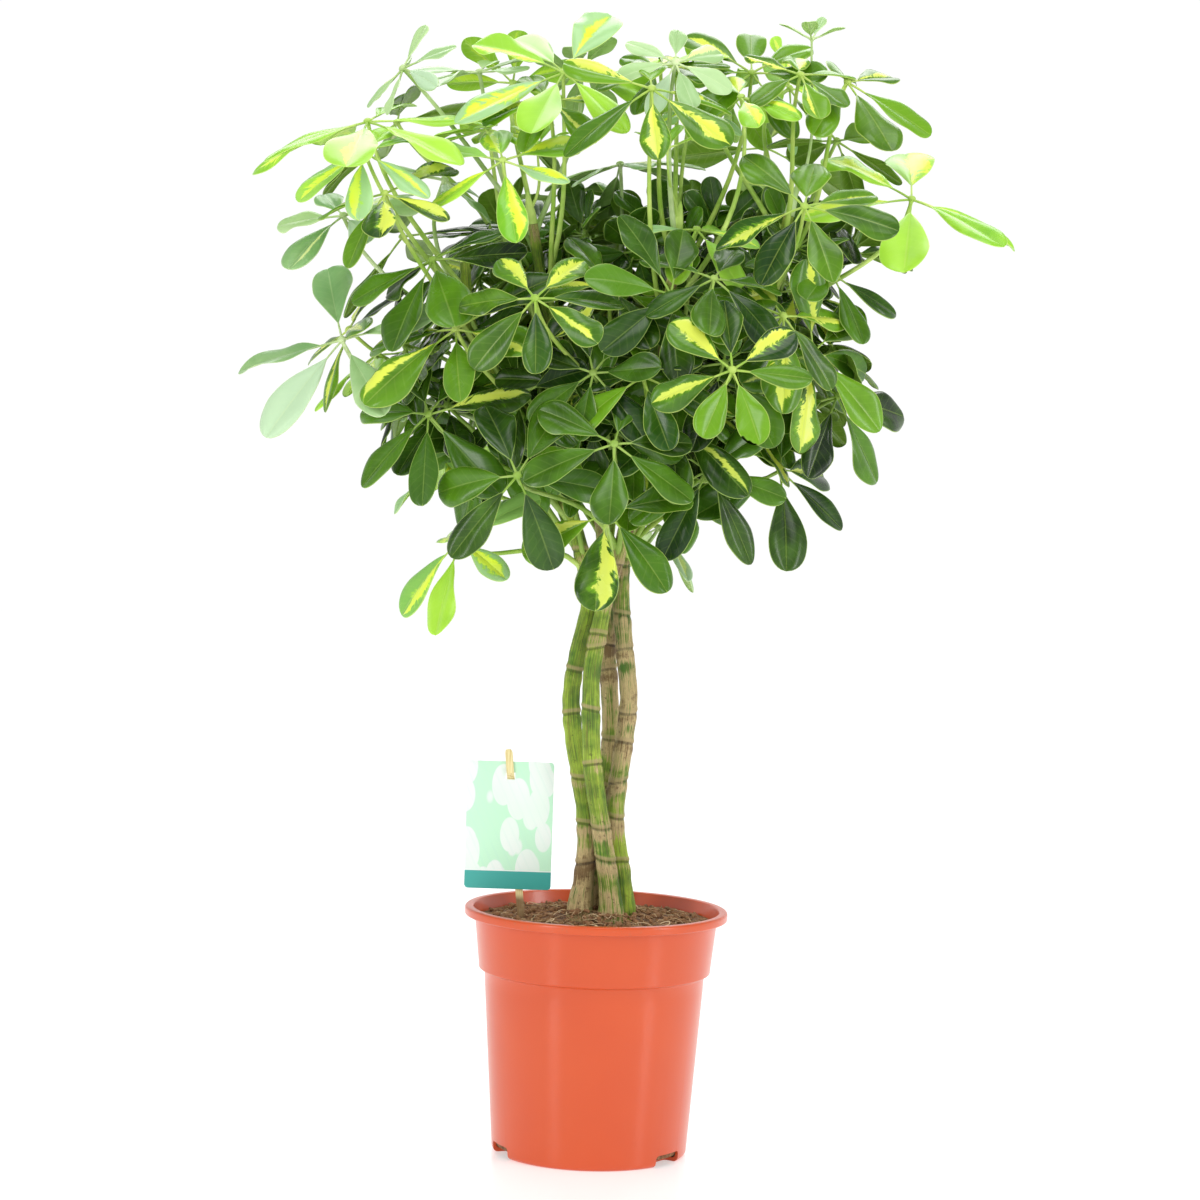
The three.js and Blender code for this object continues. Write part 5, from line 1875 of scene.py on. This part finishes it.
SHOOT_ROUTES = (
    ShootRoute("back", 560, ((-62, 56, 622), (-98, 94, 690), (-106, 106, 745))),
    ShootRoute("right", 520, ((62, 60, 590), (100, 94, 660), (112, 106, 740))),
    ShootRoute("back", 475, ((4, 66, 530), (14, 100, 600), (4, 114, 668))),
)

TIP_HUBS: dict[str, tuple[Triple, Tone]] = {
    "front": ((36, -48, 796), Tone.LIME),
    "right": ((148, 4, 890), Tone.PALE),
    "back": ((-66, 6, 800), Tone.LIME),
}

ZONES = (
    Zone((5, 10, 645), (185, 125, 98), 60, 34, 95, 66, -4, (Tone.DARK,) * 6 + (Tone.FLAMED,)),
    Zone((0, 112, 672), (150, 55, 85), 20, 40, 95, 62, -4, (Tone.DARK, Tone.DARK, Tone.FLAMED)),
    Zone((50, 50, 728), (150, 80, 12), 16, 30, 80, 54, -40, (Tone.DARK,)),
    Zone((-5, 30, 862), (200, 105, 22), 7, 44, 130, 50, -4, (Tone.LIME, Tone.FLAMED, Tone.PALE, Tone.LIME)),
)

LEAF_ROWS = (
    Row("left", (-199, -20, 812), (-0.2, -0.35, 0.9), 98, 7, Tone.LIME, -2),
    Row("left", (-198, -55, 785), (-0.3, -0.5, 0.8), 60, 6, Tone.LIME),
    Row("left", (-180, -75, 752), (-0.3, -0.5, 0.8), 66, 6, Tone.FLAMED),
    Row("left", (-140, 25, 772), (0.4, -0.2, 0.8), 52, 5, Tone.PALE),
    Row("back", (-106, 10, 812), (-0.2, -0.1, 1), 50, 6, Tone.LIME),
    Row("back", (-91, -55, 782), (-0.1, -0.6, 0.8), 72, 6, Tone.LIME),
    Row("back", (-47, -10, 856), (0, -0.66, 0.75), 88, 7, Tone.LIME, -5),
    Row("back", (-58, -38, 832), (-0.2, -0.5, 0.8), 58, 5, Tone.FLAMED),
    Row("back", (-116, 55, 862), (-0.2, -0.2, 0.95), 58, 6, Tone.PALE, -5),
    Row("front", (29, 0, 865), (-0.1, -0.5, 0.85), 54, 6, Tone.FLAMED, -2),
    Row("front", (22, -80, 838), (0, -0.6, 0.75), 70, 6, Tone.FLAMED),
    Row("back", (0, 60, 792), (-0.1, 0.2, 1), 64, 6, Tone.PALE),
    Row("front", (56, 18, 835), (0.2, -0.3, 0.9), 46, 5, Tone.LIME),
    Row("front", (92, -40, 838), (-0.2, -0.4, 0.9), 52, 6, Tone.LIME),
    Row("front", (102, 20, 864), (0, -0.66, 0.75), 66, 7, Tone.FLAMED, -10),
    Row("right", (138, -30, 858), (0.1, -0.5, 0.85), 52, 6, Tone.FLAMED, -2),
    Row("right", (176, -10, 856), (0.35, -0.5, 0.8), 74, 7, Tone.FLAMED, -2),
    Row("right", (174, 55, 816), (0.4, 0.4, 0.8), 58, 6, Tone.DARK),
    Row("right", (140, -108, 750), (0, -0.75, 0.65), 68, 7, Tone.FLAMED),
    Row("right", (230, -10, 766), (0.1, -0.4, 0.9), 100, 6, Tone.LIME, -3),
    Row("left", (-216, -20, 738), (-0.3, -0.5, 0.8), 64, 6, Tone.PALE, -2),
    Row("left", (-143, -50, 704), (-0.45, -0.5, 0.7), 78, 7, Tone.DARK),
    Row("left", (-211, 5, 650), (-0.7, -0.2, 0.7), 64, 5, Tone.FLAMED),
    Row("left", (-122, -82, 650), (-0.3, -0.6, 0.7), 86, 6, Tone.FLAMED),
    Row("left", (-212, -45, 640), (-0.2, -0.6, 0.75), 88, 6, Tone.PALE, -3),
    Row("left", (-192, 40, 631), (-0.4, 0.2, 0.9), 64, 5, Tone.LIME),
    Row("front", (-61, -135, 673), (-0.1, -0.8, 0.6), 68, 7, Tone.FLAMED),
    Row("back", (-38, -70, 612), (-0.3, -0.8, 0.5), 60, 5, Tone.DARK),
    Row("front", (-4, -60, 688), (0.1, -0.6, 0.8), 70, 6, Tone.FLAMED),
    Row("front", (61, -35, 735), (0.1, -0.4, 0.9), 56, 6, Tone.LIME),
    Row("front", (74, -95, 694), (0.2, -0.6, 0.75), 64, 6, Tone.DARK),
    Row("right", (128, -84, 668), (0.3, -0.7, 0.6), 68, 6, Tone.FLAMED),
    Row("right", (168, -25, 705), (0.4, -0.4, 0.8), 68, 6, Tone.DARK),
    Row("front", (88, -150, 624), (0, -0.95, 0.35), 62, 7, Tone.FLAMED),
    Row("front", (22, -112, 618), (-0.2, -0.8, 0.55), 62, 6, Tone.FLAMED),
    Row("right", (175, -35, 609), (0.6, -0.6, 0.5), 78, 6, Tone.DARK),
    Row("left", (-141, -80, 584), (-0.3, -0.75, 0.6), 74, 7, Tone.DARK),
    Row("front", (2, -134, 566), (0, -0.85, 0.5), 66, 6, Tone.DARK),
    Row("right", (74, -95, 548), (0.2, -0.85, 0.45), 66, 7, Tone.DARK),
    Row("right", (132, -40, 550), (0.5, -0.6, 0.5), 76, 7, Tone.DARK),
    Row("front", (-70, -138, 540), (0, -0.95, 0.4), 74, 6, Tone.DARK),
    Row("left", (-135, 5, 550), (-0.6, -0.2, 0.75), 60, 5, Tone.LIME),
    Row("front", (-2, -118, 514), (0, -0.85, 0.5), 72, 6, Tone.FLAMED),
    Row("right", (40, 25, 500), (0.4, 0.1, 0.8), 58, 5, Tone.PALE),
    Row("left", (-116, -60, 487), (-0.5, -0.5, 0.6), 70, 6, Tone.LIME),
)


def dress(piece: bpy.types.Object, node: str, material: bpy.types.Material) -> None:
    """Gives a piece its finish and body, and sets it in place of its node."""
    piece.data.materials.clear()
    piece.data.materials.append(material)
    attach(piece, "root")
    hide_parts(node)
    log.info("%s stands for %s: %d faces", piece.name, node, len(piece.data.polygons))


def build_base() -> None:
    """Builds the pot, the soil and the label."""
    pot, label = Pot(), Label()
    dress(pot.build(), "pot", PotPlastic().material())
    dress(Soil(pot).bed(), "soil", Peat().material())
    face = (label.y - label.thickness / 2) * MM
    dress(label.card(), "label_card", CardPrint().material(face, label.bottom * MM))
    dress(label.stake(), "label_stake", StakeWood().material())


def build_plant() -> None:
    """Builds the stems and the crown."""
    trunk = Trunk(STEM_ROUTES, STEM_SCARS, STEM_AGES)
    bark = Bark().material()
    for name in STEM_ROUTES:
        dress(trunk.build(name), f"stem_{name}", bark)

    skins = {tone: skin.material() for tone, skin in LEAF_SKINS.items()}
    foliage = Foliage(Pattern.blade(12, 18), Pattern.tube(8, 18), Pattern.tube(6, 11))
    crown = Crown(trunk, foliage, LEAF_ROWS, SHOOT_ROUTES, TIP_HUBS, ZONES)
    leaflets = 0
    for node, tone, piece, grown in crown.named():
        dress(piece, node, skins[tone])
        leaflets += grown
    log.info("%d leaflets stand for the frame's", leaflets)

    for name, own in crown.inner_leaves().items():
        piece = crown.build_inner(name, own, list(skins))
        for skin in skins.values():
            piece.data.materials.append(skin)
        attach(piece, "root")
        log.info("%s: %d leaves", piece.name, len(own))


def main() -> None:
    """Builds the studio, the pot and the plant."""
    logging.basicConfig(level=logging.INFO, format="%(name)s: %(message)s")
    studio = Studio()
    studio.camera()
    studio.light()
    studio.floor()
    build_base()
    build_plant()


if __name__ == "__main__":
    main()
